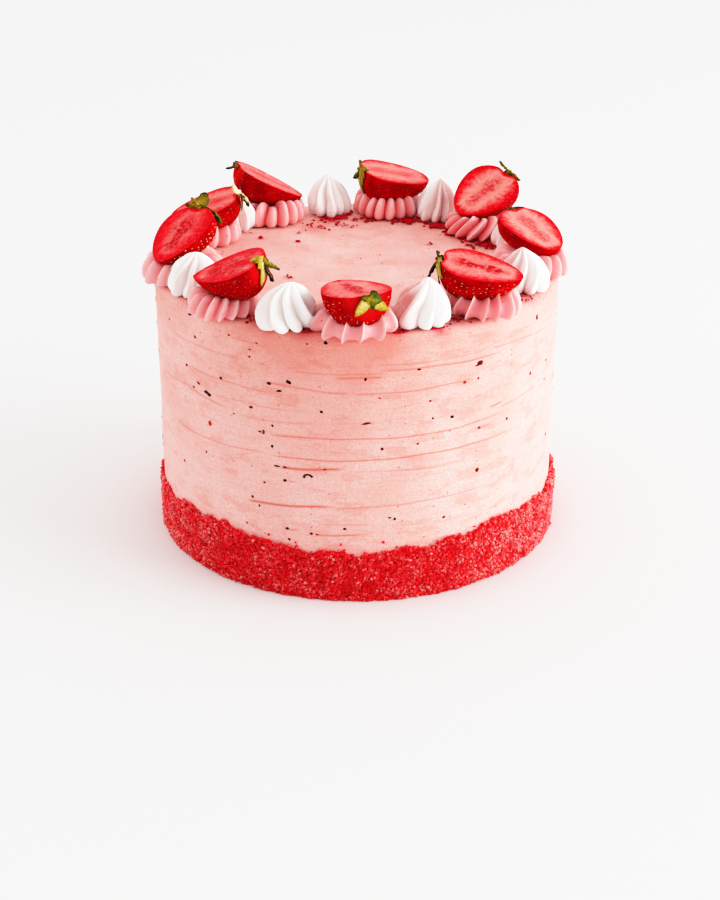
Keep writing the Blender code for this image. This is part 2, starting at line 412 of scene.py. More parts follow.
def meringue_material():
    """Chalky white baked meringue, a little darker and warmer in its creases as painted shade, stained
    with red dust and pink on one side.
    """
    recipe = Recipe("white_meringue", Roughness=0.6, Specular_IOR_Level=0.25)
    recipe.soft(0.15, (1.0, 0.8, 0.7), 1.5)
    clouds = recipe.noise(4 * MM, 2)
    recipe.color = srgb(250, 248, 246)
    recipe.tint(clouds, 253, 252, 251)
    # painted shade in the creases
    crease = recipe.span(recipe.painted("crease"), 0.4, 1.0, 0, 0.6)
    recipe.tint(crease, 232, 214, 206)
    patchy = recipe.span(recipe.noise(1.2 * MM, 3, 0.7), 0.4, 0.62)
    recipe.tint(recipe.math("MULTIPLY", recipe.painted("stain"), patchy), 206, 84, 92)
    # pink side: partly red dust, partly painted shade
    recipe.tint(recipe.painted("pink"), 236, 158, 152)
    recipe.tint(recipe.dots(4.2 * MM, (0.07, 0.04), (0.6, 0.66), 0.8), 200, 70, 84)
    recipe.bumps((clouds, 0.12 * MM), (recipe.noise(0.7 * MM, 3), 0.05 * MM))
    return recipe.finish()


def crumb_material():
    """Dry red crumbs: each has its own tone, from deep red to a dusty pink, with painted light and
    painted shade mixed into it.
    """
    recipe = Recipe("red_crumbs", Roughness=0.75, Specular_IOR_Level=0.08, Sheen_Weight=0.3,
                    Sheen_Tint=srgb(255, 150, 150))
    recipe.soft(0.4, (1.0, 0.12, 0.12), 1.5)
    grain = recipe.noise(0.4 * MM, 2)
    # tone: the crumbs' own, with painted light and painted shade in it
    tone = recipe.math("ADD", recipe.painted("tone"), recipe.span(grain, 0.3, 0.7, -0.12, 0.12))
    recipe.color = recipe.ramp(
        tone,
        (0.0, 208, 0, 18),
        (0.35, 244, 6, 28),
        (0.7, 254, 70, 78),
        (1.0, 255, 146, 142),
    )
    recipe.bumps((grain, 0.15 * MM))
    return recipe.finish()


def skin_material():
    """Deep red strawberry skin that glints in small spots, lighter towards the stem, with painted shade
    in the seeds' dimples.
    """
    recipe = Recipe("strawberry_skin", Roughness=0.2)
    wet = recipe.span(recipe.noise(1.3 * MM, 2), 0.62, 0.74, 0.0, 0.5)
    recipe.feed(recipe.shader.inputs["Specular IOR Level"], wet)
    clouds = recipe.noise(7 * MM, 2)
    recipe.color = srgb(146, 1, 8)
    recipe.tint(recipe.span(clouds, 0.3, 0.7), 196, 2, 12)
    recipe.tint(recipe.painted("shoulder"), 216, 26, 22)
    # painted shade in the seeds' dimples
    recipe.tint(recipe.painted("dimple"), 128, 1, 8)
    recipe.bumps((recipe.noise(1.2 * MM, 2), 0.2 * MM))
    return recipe.finish()


def flesh_material():
    """The cut face: a red rim, salmon flesh with pale rays, and a red core with streaks."""
    recipe = Recipe("strawberry_flesh", Roughness=0.28)
    recipe.soft(0.12, (1.0, 0.2, 0.15), 1.5)
    rough = recipe.noise(2.2 * MM, 3, 0.65)
    spots = recipe.noise(1.5 * MM, 3, 0.6)
    wet = recipe.span(recipe.noise(1.2 * MM, 2), 0.6, 0.7, 0.02, 0.6)
    recipe.feed(recipe.shader.inputs["Specular IOR Level"], wet)
    depth = recipe.math("ADD", recipe.painted("depth"), recipe.span(rough, 0.3, 0.7, -0.13, 0.13))
    recipe.color = recipe.ramp(
        depth,
        (0.0, 232, 62, 66),
        (0.14, 240, 98, 96),
        (0.34, 247, 128, 121),
        (0.6, 242, 84, 84),
        (0.8, 231, 14, 32),
        (1.0, 197, 1, 14),
    )
    recipe.tint(recipe.painted("ray"), 252, 172, 160)
    ripe = recipe.math("MULTIPLY", recipe.painted("ripe"), recipe.span(rough, 0.35, 0.62, 0.72, 1.0))
    recipe.tint(ripe, 238, 4, 34)
    core = recipe.math("MULTIPLY", recipe.painted("core"), recipe.span(spots, 0.44, 0.53))
    recipe.tint(core, 180, 1, 20)
    recipe.bumps((rough, 0.3 * MM), (recipe.noise(0.7 * MM, 2), 0.15 * MM))
    return recipe.finish()


def seed_material():
    """Seeds from the skin's own red, where they are hard to see, to pale yellow."""
    recipe = Recipe("strawberry_seeds", Roughness=0.4, Specular_IOR_Level=0.3)
    stops = ((0.0, 160, 6, 10), (0.45, 206, 92, 50), (1.0, 250, 214, 158))
    recipe.color = recipe.ramp(recipe.painted("tone"), *stops)
    return recipe.finish()


def leaf_material():
    """Strawberry leaf: dark green to yellow green or brown, with a paler midrib."""
    recipe = Recipe("strawberry_leaf", Roughness=0.45, Specular_IOR_Level=0.12)
    grain = recipe.noise(0.8 * MM, 3)
    tone = recipe.math("ADD", recipe.painted("tone"), recipe.span(grain, 0.3, 0.7, -0.07, 0.07))
    recipe.color = recipe.ramp(
        tone,
        (0.0, 24, 12, 10),
        (0.12, 146, 92, 40),
        (0.24, 84, 64, 4),
        (0.36, 42, 52, 4),
        (0.48, 84, 98, 8),
        (0.6, 138, 114, 2),
        (0.72, 178, 148, 36),
        (0.86, 214, 186, 110),
        (1.0, 244, 226, 196),
    )
    recipe.tint(recipe.painted("vein"), 208, 188, 80)
    recipe.bumps((grain, 0.15 * MM))
    return recipe.finish()


def speck_material(name, dark, light, roughness):
    """Bits of freeze dried strawberry, each with its own tone."""
    recipe = Recipe(name, Roughness=roughness, Specular_IOR_Level=0.1)
    patchy = recipe.span(recipe.noise(0.4 * MM, 2), 0.2, 0.5, 0.6, 1)
    recipe.color = recipe.mix(recipe.math("MULTIPLY", recipe.painted("tone"), patchy), dark, light)
    return recipe.finish()


def floor_material():
    """Plain light grey for the floor of the render."""
    recipe = Recipe("pale_floor", Roughness=0.9, Specular_IOR_Level=0.1)
    recipe.color = srgb(228, 227, 226)
    recipe.tint(recipe.noise(0.5, 2), 231, 231, 230)
    return recipe.finish()


# ---------------------------------------------------------------- red dust

# Clusters of dried strawberry bits on the cake's top: a place in plan, how far they spread,
# how many there are and how large, in millimetres, and how strongly they stain what is near.
Cluster = namedtuple("Cluster", "x y spread count size stain")
CLUSTERS = table(
    Cluster,
    (-46.3, 38.5, 0.4, 2, 1.8, 0.6), (-41.5, 31.6, 0.8, 4, 2.0, 0.7),
    (-25.3, 38.5, 0.5, 3, 1.5, 0.6), (-25.3, 26.1, 0.6, 4, 1.7, 0.7),
    (-27.9, -18.7, 0.6, 4, 1.7, 0.7), (31.1, 23.4, 0.5, 4, 1.8, 0.7),
    (-10.7, 58.5, 3.5, 34, 2.0, 0.9), (-17.5, 48.0, 4.5, 20, 1.3, 0.6),
    (-5.2, 49.4, 3.5, 12, 1.2, 0.5), (21.5, 56.5, 2.6, 60, 2.7, 1.0),
    (37.5, 48.6, 3.0, 54, 2.7, 1.0), (43.5, 38.5, 2.6, 54, 2.6, 1.0),
    (50.8, 30.8, 3.2, 60, 2.5, 1.0), (57.6, 22.0, 3.4, 56, 2.3, 1.0),
    (-18.0, -60.0, 2.0, 24, 2.0, 1.0), (15.7, -79.6, 1.4, 18, 1.5, 0.7),
    (31.5, -76.5, 2.2, 24, 1.4, 0.8), (66.5, -43.0, 2.6, 26, 1.5, 0.8),
    (-33.0, -73.0, 3.0, 26, 1.6, 1.0), (-61.0, 36.0, 3.0, 16, 1.5, 0.7),
    (60.5, 1.0, 2.5, 18, 1.5, 0.6), (-58.0, -26.0, 2.5, 16, 1.4, 0.6),
    (-63.0, -47.5, 1.8, 14, 1.5, 0.7), (5.0, -73.0, 3.0, 14, 1.3, 0.6),
    (-35.0, 56.0, 3.0, 20, 1.5, 0.7), (5.0, 58.0, 3.0, 30, 1.6, 0.8),
    (38.0, -67.0, 3.0, 18, 1.5, 0.8), (74.0, 20.0, 2.0, 12, 1.4, 0.6),
    (-37.5, -65.5, 3.0, 40, 1.5, 1.0), (-18.0, -79.0, 2.2, 14, 1.2, 0.9),
    (24.0, -71.0, 2.4, 20, 1.6, 0.9), (12.0, 60.0, 3.0, 26, 1.7, 0.9),
)
STAIN_SPREAD = 1.5                # how far a stain reaches, part of its cluster's spread
STAIN_HEIGHT = 8 * MM             # and how high above the cake's top


def stained(points):
    """How red the dust of the clusters makes each point near the cake's top."""
    uneven = 0.75 + 0.6 * even_noise(points, 3 * MM, 15) + 0.4 * even_noise(points, 1.1 * MM, 16)
    stain = np.zeros(points.shape[:-1])
    for cluster in CLUSTERS:
        gap = np.hypot(points[..., 0] - cluster.x * MM, points[..., 1] - cluster.y * MM)
        reach = (STAIN_SPREAD * cluster.spread + 0.8) * MM
        stain = np.maximum(stain, cluster.stain * np.exp(-((gap / reach) ** 2)))
    low = smooth_step(points[..., 2], CAKE_TOP + STAIN_HEIGHT, CAKE_TOP)
    on_top = smooth_step(points[..., 2], CAKE_TOP - 4 * MM, CAKE_TOP - 0.5 * MM)
    return np.clip(0.75 * stain * uneven, 0, 0.9) * low * on_top


# ---------------------------------------------------------------- the frosted cake

CAKE_COLUMNS = 256
CAKE_ROW = 0.34 * MM              # height of a row of the side that shows
HIDDEN_HEIGHT = 21 * MM           # the crumbs hide the side up to here
CAKE_RIM_RADIUS = 2.5 * MM
CAKE_TOP_RINGS = 44

# Lines that the scraper left, from one azimuth to another. height and rise, where it starts
# and how much higher it ends, and width are in millimetres. tint is how dark it is.
Scrape = namedtuple("Scrape", "start end height rise width tint")
FRONT_SCRAPES = table(
    Scrape,
    (-151, -117, 98.3, 0.5, 0.7, 0.35), (-160, -140, 76.7, 2.2, 0.5, 0.6),
    (-141, -127, 78.9, -2.8, 0.5, 0.75), (-125, -116.5, 107, -0.3, 0.7, 0.5),
    (-143, -112, 87.5, 0.1, 0.45, 0.6), (-126, -107, 80.7, 0.6, 0.5, 0.4),
    (-121, -99, 75.1, 1.4, 0.9, 0.3), (-107, -81, 97.1, 1.2, 0.4, 0.55),
    (-85, -50, 101.2, 0.0, 0.4, 0.5), (-52, -21, 101.0, -3.2, 0.45, 0.6),
    (-84, -46, 98.7, -0.4, 0.55, 0.8), (-95, -81.7, 96.0, 0.5, 0.6, 0.8),
    (-113.5, -90, 91.3, -1.7, 0.45, 0.75), (-91, -55, 89.6, 1.0, 0.45, 0.75),
    (-114, -42, 69.8, 2.1, 0.5, 0.8), (-152, -112, 59.4, 1.5, 0.45, 0.6),
    (-114, -38, 60.8, 2.4, 0.5, 0.85), (-110.5, -92.6, 56.3, 1.3, 0.95, 0.95),
    (-92, -60, 56.8, -0.6, 0.45, 0.4), (-121, -94.6, 38.6, 2.6, 0.9, 0.95),
    (-96, -50, 41.2, 1.3, 0.45, 0.6), (-100, -84.5, 33.2, 0.8, 0.4, 0.5),
    (-101, -87, 28.5, 1.1, 0.6, 0.8), (-51, -47, 76.0, 0.3, 0.7, 0.8),
    (-47.5, -29, 74.7, 0.3, 0.5, 0.6), (-55, -51.5, 68.8, 0.1, 0.5, 0.7),
    (-79, -60, 56.8, 0.2, 0.45, 0.3), (-109, -106, 50.7, 0.0, 0.7, 0.5),
    (-109, -105.5, 29.7, 0.0, 0.6, 0.6), (-83, -80.5, 66.5, 0.2, 0.8, 0.5),
    (-88, -85, 77.4, 0.1, 0.8, 0.4),
)
SCRAPE_DEPTH = 0.22 * MM
# The side's redder, darker band under the toppings is partly red stain and partly painted shade,
# deepest on the front.
BLUSH = 0.70                      # how much redder the side is just under the toppings,
BLUSH_AND_SHADE_SIDE = -97                  # most of all at this azimuth
BLUSH_AND_SHADE_HEIGHT = 75 * MM            # and how far down that goes
TOP_BLUSH = 0.22                  # how much redder the top is
SIDE_RIPPLE = 0.16 * MM           # how uneven the side is, in level ripples
SIDE_SWELL = 0.35 * MM            # and in broad swells
TOP_UNEVEN = 0.2 * MM             # how uneven the top is
OTHER_SCRAPES = 34                # on the rest of the side
OTHER_SIDE = (-25, 200)           # azimuths of the side that the front lines leave bare
# The least and the most of their height, rise, width and tint.
OTHER_SCRAPE_LIMITS = ((26, 108), (-1.5, 2), (0.4, 0.8), (0.3, 0.9))


def scrape_marks():
    """The lines of the front, and others like them on the rest of the side."""
    rng = np.random.default_rng(11)
    marks = list(FRONT_SCRAPES)
    for start in rng.uniform(*OTHER_SIDE, OTHER_SCRAPES):
        length = min(rng.uniform(4, 60), OTHER_SIDE[1] - start)
        height, rise, width, tint = (rng.uniform(*limits) for limits in OTHER_SCRAPE_LIMITS)
        marks.append(Scrape(start, start + length, height, rise, width, tint))
    return marks


def scraped(angle, height):
    """How strongly scrape marks show, and how deep they are, at each place of the side."""
    tint = np.zeros(angle.shape)
    depth = np.zeros(angle.shape)
    degrees = np.degrees(angle)
    for mark in scrape_marks():
        along = (degrees - mark.start) % 360 / (mark.end - mark.start)
        waver = 0.25 * MM * np.sin(7 * angle + mark.height)
        waver = waver + 0.12 * MM * np.sin(23 * angle + mark.start)
        line = (mark.height + mark.rise * along) * MM + waver
        across = np.exp(-(((height - line) / (mark.width * MM * 0.6)) ** 2))
        strength = across * smooth_step(along, 0, 0.05) * smooth_step(along, 1.0, 0.8)
        tint += mark.tint * strength
        depth += SCRAPE_DEPTH * mark.width * strength
    return np.clip(tint, 0, 0.95), depth


def cake_profile():
    """Radius and height of every row, from the foot up the side, over the rim and in."""
    hidden = np.arange(0, HIDDEN_HEIGHT, 3 * MM)
    side = np.arange(HIDDEN_HEIGHT, CAKE_TOP - CAKE_RIM_RADIUS, CAKE_ROW)
    turn = np.radians(np.linspace(0, 90, 9))
    radii = [np.full(len(hidden) + len(side), CAKE_RADIUS)]
    heights = [hidden, side]
    radii.append(CAKE_RADIUS - CAKE_RIM_RADIUS * (1 - np.cos(turn)))
    heights.append(CAKE_TOP - CAKE_RIM_RADIUS * (1 - np.sin(turn)))
    radii.append(np.linspace(CAKE_RADIUS - CAKE_RIM_RADIUS, 1 * MM, CAKE_TOP_RINGS)[1:])
    heights.append(np.full(CAKE_TOP_RINGS - 1, CAKE_TOP))
    return np.concatenate(radii), np.concatenate(heights)


def side_relief(angle, height):
    """How far the side stands out from its cylinder at each place."""
    flat = upright(angle, CAKE_RADIUS, height)
    ripple = SIDE_RIPPLE * even_noise(flat * (0.25, 0.25, 1), 5 * MM, 3)
    swell = SIDE_SWELL * even_noise(flat, 34 * MM, 4)
    return swell + ripple - scraped(angle, height)[1]


def blushed_and_shaded(angle, radius, height):
    """How much redder and darker the cream is at each place, partly red stain and partly painted shade:
    most of all high up under the toppings and on one side.
    """
    climb = np.clip(1 - (CAKE_TOP - height) / BLUSH_AND_SHADE_HEIGHT, 0, 1)
    aside = smooth_step(np.cos(angle - math.radians(BLUSH_AND_SHADE_SIDE)), 1.0, 0.88)
    of_side = BLUSH * (1 - 0.55 * aside) * climb ** 1.7
    blush_and_shade = np.where(radius > CAKE_RADIUS - 6 * MM, of_side, TOP_BLUSH)
    return blush_and_shade * (0.85 + 0.5 * even_noise(upright(angle, radius, height), 12 * MM, 14))


def frosted_cake(material):
    """The buttercream's skin, as one closed body."""
    radius, height = cake_profile()
    angle = math.tau * np.arange(CAKE_COLUMNS) / CAKE_COLUMNS
    angle, radius = np.meshgrid(angle, radius)
    height = np.broadcast_to(height[:, None], angle.shape)
    is_side = radius > CAKE_RADIUS - 0.1 * MM
    top_relief = TOP_UNEVEN * even_noise(upright(angle, radius, height), 7 * MM, 5) - 0.05 * MM
    out = np.where(is_side, side_relief(angle, height), 0)
    grid = upright(angle, radius + out, height + np.where(is_side, 0, top_relief))
    grid[0, :, 2] = 0
    body = closed_body(grid, (0, 0, 0), (0, 0, CAKE_TOP))
    piece = make_piece("cake_buttercream", *body, material)
    tint = np.where(is_side, scraped(angle, height)[0], 0)
    # Painted shade and red stain under the toppings, with the scrape marks' tint over them.
    shown = 1 - (1 - blushed_and_shaded(angle, radius, height)) * (1 - tint)
    paint(piece, "scrape", np.append(shown, (0, 0)))
    paint(piece, "stain", np.append(stained(grid), (0, 0)))
    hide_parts("frosted_cake")


# Dark bits in the side, at an azimuth and a height in millimetres, long and tall in
# millimetres. red is how red they are, from nearly black to dark red.
Speck = namedtuple("Speck", "azimuth height long tall red")
FRONT_SPECKS = table(
    Speck,
    (-138.5, 101.6, 0.9, 0.9, 0.3), (-140.3, 110.3, 1.6, 0.7, 0.2), (-152.9, 102.4, 0.7, 0.7, 0.7),
    (-125.3, 107.5, 0.8, 0.6, 0.8), (-102.6, 109.2, 0.5, 0.5, 0.2), (-97.7, 110.2, 1.0, 0.9, 0.0),
    (-113.4, 91.0, 1.3, 0.9, 0.1), (-107.8, 92.8, 1.8, 1.0, 0.0), (-110.5, 88.6, 1.5, 0.7, 0.0),
    (-119.0, 79.5, 1.2, 0.8, 0.3), (-99.1, 81.8, 0.9, 0.7, 0.0), (-87.4, 77.4, 3.2, 0.9, 0.2),
    (-116.4, 70.1, 0.9, 0.7, 0.3), (-115.3, 70.2, 0.7, 1.4, 0.5), (-112.6, 73.5, 0.7, 0.7, 0.0),
    (-112.9, 64.7, 0.7, 0.9, 0.0), (-87.6, 95.7, 0.8, 0.9, 0.0), (-83.9, 87.8, 0.7, 0.5, 0.6),
    (-83.2, 66.4, 0.9, 0.8, 0.2), (-111.6, 56.4, 1.7, 0.5, 0.0), (-109.4, 56.5, 1.1, 0.8, 0.1),
    (-98.4, 57.3, 0.9, 0.5, 0.5), (-109.4, 50.7, 1.1, 0.8, 0.1), (-115.5, 48.2, 0.6, 0.6, 0.1),
    (-119.3, 40.6, 0.9, 0.8, 0.2), (-117.3, 37.3, 0.6, 0.8, 0.1), (-121.5, 28.1, 0.8, 0.6, 0.4),
    (-109.0, 29.7, 1.1, 0.7, 0.1), (-108.5, 24.9, 0.8, 0.8, 0.2), (-102.2, 28.8, 1.0, 0.7, 0.2),
    (-100.6, 28.7, 0.9, 0.6, 0.7), (-81.0, 36.4, 0.9, 0.5, 0.0), (-79.7, 35.7, 0.8, 0.8, 0.0),
    (-93.1, 31.9, 1.0, 0.7, 0.2), (-73.5, 98.3, 1.2, 0.6, 0.1), (-55.4, 96.4, 1.9, 1.4, 0.2),
    (-55.9, 95.7, 2.4, 0.5, 0.2), (-60.2, 89.7, 1.0, 0.8, 0.6), (-55.9, 90.0, 0.7, 0.7, 0.7),
    (-70.3, 84.7, 0.7, 0.6, 0.6), (-63.8, 76.4, 1.1, 0.8, 0.0), (-69.5, 77.2, 0.7, 0.6, 0.2),
    (-55.1, 68.7, 1.0, 0.7, 0.4), (-44.5, 68.0, 0.8, 0.8, 0.2), (-55.2, 50.3, 1.2, 1.2, 0.3),
    (-32.1, 105.7, 1.0, 1.7, 0.2), (-34.2, 82.6, 0.9, 1.2, 0.9), (-73.6, 67.3, 0.8, 0.6, 0.8),
    (-135.7, 53.4, 0.8, 0.7, 0.6), (-147.0, 43.3, 0.9, 0.8, 0.6), (-65.6, 33.2, 0.9, 0.7, 0.3),
    (-143.2, 87.5, 1.1, 0.8, 0.5), (-128.7, 88.4, 1.1, 0.8, 0.1), (-137.7, 82.4, 1.3, 0.8, 0.6),
    (-140.0, 79.7, 0.9, 0.8, 0.5), (-134.4, 80.1, 1.8, 0.9, 0.1), (-133.4, 79.6, 1.8, 1.1, 0.1),
    (-133.5, 67.1, 1.4, 1.7, 1.0), (-118.8, 103.6, 1.0, 0.4, 0.8), (-119.0, 100.6, 0.8, 0.6, 0.8),
    (-116.7, 106.7, 0.9, 0.5, 0.9), (-124.5, 75.0, 0.6, 0.5, 0.8),
)
HOOK_AT = (-102.9, 53.4)          # azimuth and height in millimetres of a curved black thread
HOOK_RADIUS = 1.2                 # in millimetres
OTHER_SPECKS = 110                # on the rest of the side,
OTHER_SPECK_HEIGHTS = (27, 110)   # between these heights in millimetres
SPECK_THICKNESS = 0.24            # in millimetres
SPECK_RISE = 0.04 * MM            # of a bit's middle above the cream
SPECK_SIZE = 1.4                  # the bits' size, part of what their tables say
SPECK_TILT = 0.35                 # how far they may slope along the side


def hook_specks():
    """The curved thread, as a row of small bits that touch."""
    azimuth, height = HOOK_AT
    specks = []
    for turn in np.radians(np.linspace(20, 185, 9)):
        across = HOOK_RADIUS * 0.9 * math.cos(turn)
        specks.append(Speck(azimuth + across, height + HOOK_RADIUS * math.sin(turn), 0.75, 0.55, 0.1))
    return specks


def side_specks():
    """All the bits of the side, one in each row."""
    rng = np.random.default_rng(12)
    specks = [*FRONT_SPECKS, *hook_specks()]
    for azimuth in rng.uniform(*OTHER_SIDE, OTHER_SPECKS):
        tall = rng.uniform(0.5, 1.0) + 0.9 * rng.random() ** 6
        height = rng.uniform(*OTHER_SPECK_HEIGHTS)
        long = tall * rng.uniform(1, 1.7)
        specks.append(Speck(azimuth, height, long, tall, rng.random() ** 2))
    return np.array(specks)


def dark_specks(material):
    """All the dark bits, each a flat grain lying in the surface of the side."""
    rng = np.random.default_rng(13)
    azimuth, height, long, tall, red = side_specks().T
    angle = np.radians(azimuth)
    count = len(angle)
    centres = upright(angle, CAKE_RADIUS + side_relief(angle, height * MM) + SPECK_RISE, height * MM)
    normals = upright(angle, 1, 0)
    along = np.column_stack([-normals[:, 1], normals[:, 0], SPECK_TILT * rng.uniform(-1, 1, count)])
    thick = np.full(count, SPECK_THICKNESS / SPECK_SIZE)
    sizes = np.column_stack([long, tall, thick]) * SPECK_SIZE * MM / 2
    points, faces = scatter(ball(2), centres, frames_facing(normals, along), sizes, 0.3, rng)
    piece = make_piece("dark_specks", points, faces, material)
    paint(piece, "tone", np.repeat(red, len(points) // count))


# ---------------------------------------------------------------- the band of crumbs

BAND_COLUMNS = 900
BAND_ROWS = 30
BAND_CORE = 1.2 * MM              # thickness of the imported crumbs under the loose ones
BAND_CLUMP = 0.6 * MM             # how much clumps and hollows change it
BAND_SHOULDER = 0.93              # where its top starts to round off, part of the height
# Painted light: the crumbs are paler towards the right, where the window is, and on the left.
CRUMB_PAINTED_LIGHT = 0.32                # how much paler the crumbs are towards one side,
CRUMB_PAINTED_LIGHT_SIDE = -15                   # that side's azimuth,
CRUMB_PAINTED_LIGHT_LEFT = 0.2                   # and how much paler on the left
# The imported crumbs are deeper red than the loose ones as painted shade in the gaps between them.
CORE_PAINTED_SHADE_TONE = 0.24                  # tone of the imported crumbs, deeper than the loose ones
CRUMB_TONE = (0.47, 0.17)         # middle and spread of the loose crumbs' tones
# Painted light on the clumps and painted shade in the hollows.
CLUMP_PAINTED_LIGHT_AND_SHADE = 0.24                 # how much paler a clump is, and how much deeper a hollow
PALER_FEW = 0.3                   # how much paler a few crumbs are,
PALER_SHARE = 0.1                 # and how many these are
STRAY_SHARE = 0.02                # crumbs that stray above the band,
STRAY_REACH = 1.2 * MM            # and how far they usually get
COARSE_CRUMBS = 7800
FINE_CRUMBS = 20000


def crumb_top():
    """Azimuths and heights of the band's upper edge."""
    points = node_points("crumb_border")
    at_side = np.hypot(points[:, 0], points[:, 1]) < CAKE_RADIUS + 0.5 * MM
    inner = points[at_side & (points[:, 2] > 10 * MM)]
    angle = np.arctan2(inner[:, 1], inner[:, 0])
    order = np.argsort(angle)
    return angle[order], inner[order, 2]


CRUMB_TOP = crumb_top()


def band_height(angle):
    """The upper edge of the crumbs: that of the node, with a finer unevenness."""
    flat = upright(angle, CAKE_RADIUS, 0)
    uneven = 1.5 * MM * even_noise(flat, 4.5 * MM, 6) + 0.8 * MM * even_noise(flat, 1.8 * MM, 7)
    return np.interp(angle, *CRUMB_TOP, period=math.tau) + uneven


def band_clumps(points):
    """Where the crumbs lie in clumps (1) and where they leave a hollow (-1)."""
    return even_noise(points, 3.6 * MM, 17) + 0.4 * even_noise(points, 1.7 * MM, 18)


def band_out(angle, height):
    """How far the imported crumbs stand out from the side. They lie thicker on the right."""
    clumps = band_clumps(upright(angle, CAKE_RADIUS, height))
    return BAND_CORE * (1 + 0.3 * np.cos(angle)) + BAND_CLUMP * clumps


def roughened(grid):
    """Moves the points of the band's outer face in and out by the size of its crumbs."""
    rough = 0.45 * MM * even_noise(grid, 1.5 * MM, 8) + 0.3 * MM * even_noise(grid, 0.7 * MM, 9)
    reach = np.linalg.norm(grid[..., :2], axis=-1)
    return grid * np.stack([1 + rough / reach, 1 + rough / reach, np.ones(reach.shape)], -1)


def crumb_core(material):
    """Packed crumbs: a ring with a rough outer face, closed on the cake's side."""
    angle = math.tau * np.arange(BAND_COLUMNS) / BAND_COLUMNS
    height = band_height(angle) - 0.6 * MM
    outer = []
    for part in np.linspace(0, 1, BAND_ROWS):
        beyond = max(part - BAND_SHOULDER, 0) / (1 - BAND_SHOULDER)
        rounding = math.sqrt(max(1 - beyond ** 2, 0.02))
        radius = CAKE_RADIUS + rounding * band_out(angle, part * height)
        outer.append(upright(angle, radius, part * height))
    inner = [upright(angle, CAKE_RADIUS - 0.2 * MM, level) for level in (height, 0)]
    grid = np.array([*roughened(np.array(outer)), *inner])
    last = (len(grid) - 1) * BAND_COLUMNS
    here = np.arange(BAND_COLUMNS)
    there = (here + 1) % BAND_COLUMNS
    under = np.column_stack([last + here, last + there, there, here])
    faces = np.vstack([ring_quads(len(grid), BAND_COLUMNS), under])
    piece = make_piece("crumb_band", grid.reshape(-1, 3), faces, material)
    # deeper red: painted shade in the gaps between the loose crumbs
    paint(piece, "tone", CORE_PAINTED_SHADE_TONE + 0.2 * even_noise(grid, 1.0 * MM, 10))
    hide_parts("crumb_border")


def crumb_tones(angle, centres, rng):
    """A tone for each loose crumb: deeper in the hollows as painted shade, paler on the clumps and on
    the right and the left as painted light.
    """
    count = len(angle)
    tone = rng.normal(*CRUMB_TONE, count) + PALER_FEW * (rng.random(count) < PALER_SHARE)
    tone = tone + CLUMP_PAINTED_LIGHT_AND_SHADE * band_clumps(centres)
    tone += CRUMB_PAINTED_LIGHT * smooth_step(np.cos(angle - math.radians(CRUMB_PAINTED_LIGHT_SIDE)), 0.45, 1.0)
    tone += CRUMB_PAINTED_LIGHT_LEFT * smooth_step(np.cos(angle), -0.45, -0.95)
    return np.clip(tone, 0, 1)


def loose_crumbs(name, shape, count, smallest, largest, seed, material):
    """Crumbs over the band, thinning out just above its upper edge."""
    rng = np.random.default_rng(seed)
    angle = rng.uniform(0, math.tau, count)
    size = rng.uniform(smallest, largest, count) * MM / 2
    height = band_height(angle) + 0.2 * MM
    strays = rng.random(count) < STRAY_SHARE
    z = rng.random(count) * height + strays * rng.exponential(STRAY_REACH, count)
    z = np.maximum(z, size * 0.9)
    above = smooth_step(z, height - 1.0 * MM, height + 0.4 * MM)
    out = (band_out(angle, z) + rng.uniform(-0.1, 0.5, count) * MM) * (1 - above) + 0.1 * MM
    centres = upright(angle, CAKE_RADIUS + out + 0.3 * size, z)
    sizes = size[:, None] * rng.uniform(0.75, 1.25, (count, 3))
    points, faces = scatter(shape, centres, random_turns(count, rng), sizes, 0.22, rng)
    points[:, 2] = np.maximum(points[:, 2], 0)
    piece = make_piece(name, points, faces, material)
    paint(piece, "tone", np.repeat(crumb_tones(angle, centres, rng), len(shape[0])))


def crumb_band(material):
    """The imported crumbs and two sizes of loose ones."""
    crumb_core(material)
    loose_crumbs("coarse_crumbs", ball(1), COARSE_CRUMBS, 0.9, 1.5, 21, material)
    loose_crumbs("fine_crumbs", octahedron(), FINE_CRUMBS, 0.55, 1.15, 22, material)


# ---------------------------------------------------------------- strawberry halves

BERRY_WIDEST = 0.36               # where it is widest, part of the length from the stem
STEM_FULLNESS = 2.3               # how full its shoulders are
SKIN_ROWS = 64
SKIN_ENDS = 0.03                  # turn from each end, in radians, at which the rows start
SKIN_STEPS = 56
FACE_COLUMNS = 34
SEED_SPACING = 2.4 * MM
DIMPLE_DEPTH = 0.34 * MM
DIMPLE_RADIUS = 0.7 * MM

# rim: how wide the red rim of the cut face is, part of the half width. core: how strongly
# the red streaks of the core show. pale: how pale the rays are. ripe: how much deeper red
# the whole face is. seeds: the tone of the seeds, from 0 for the skin's own red. blunt: the
# lower, the blunter its tip. spread: how far from the middle the streaks reach.
BerryLook = namedtuple("BerryLook", "rim core pale ripe seeds blunt spread")
BERRY_LOOKS = table(
    BerryLook,
    (0.5, 0.9, 0.35, 0.7, 0.8, 0.62, 0.35), (0.22, 0.3, 0.3, 0.5, 0.4, 0.5, 0.3),
    (0.10, 0.1, 0.1, 0.5, 0.05, 0.5, 0.3), (0.15, 0.2, 0.5, 0.35, 0.05, 0.42, 0.3),
    (0.34, 0.6, 0.5, 0.0, 0.1, 0.6, 0.24), (0.24, 0.45, 0.6, 0.05, 0.05, 0.55, 0.3),
    (0.22, 1.0, 0.6, 0.35, 0.5, 0.58, 0.28), (0.16, 1.0, 0.6, 0.5, 0.6, 0.62, 0.26),
    (0.30, 0.8, 0.15, 0.95, 0.2, 0.75, 0.9),
)
STEM_DENT = 1.6 * MM              # how far the stem end is dented
STEM_DENT_RADIUS = 3.5 * MM
SEED_SIZE = (0.44 * MM, 0.24 * MM, 0.22 * MM)
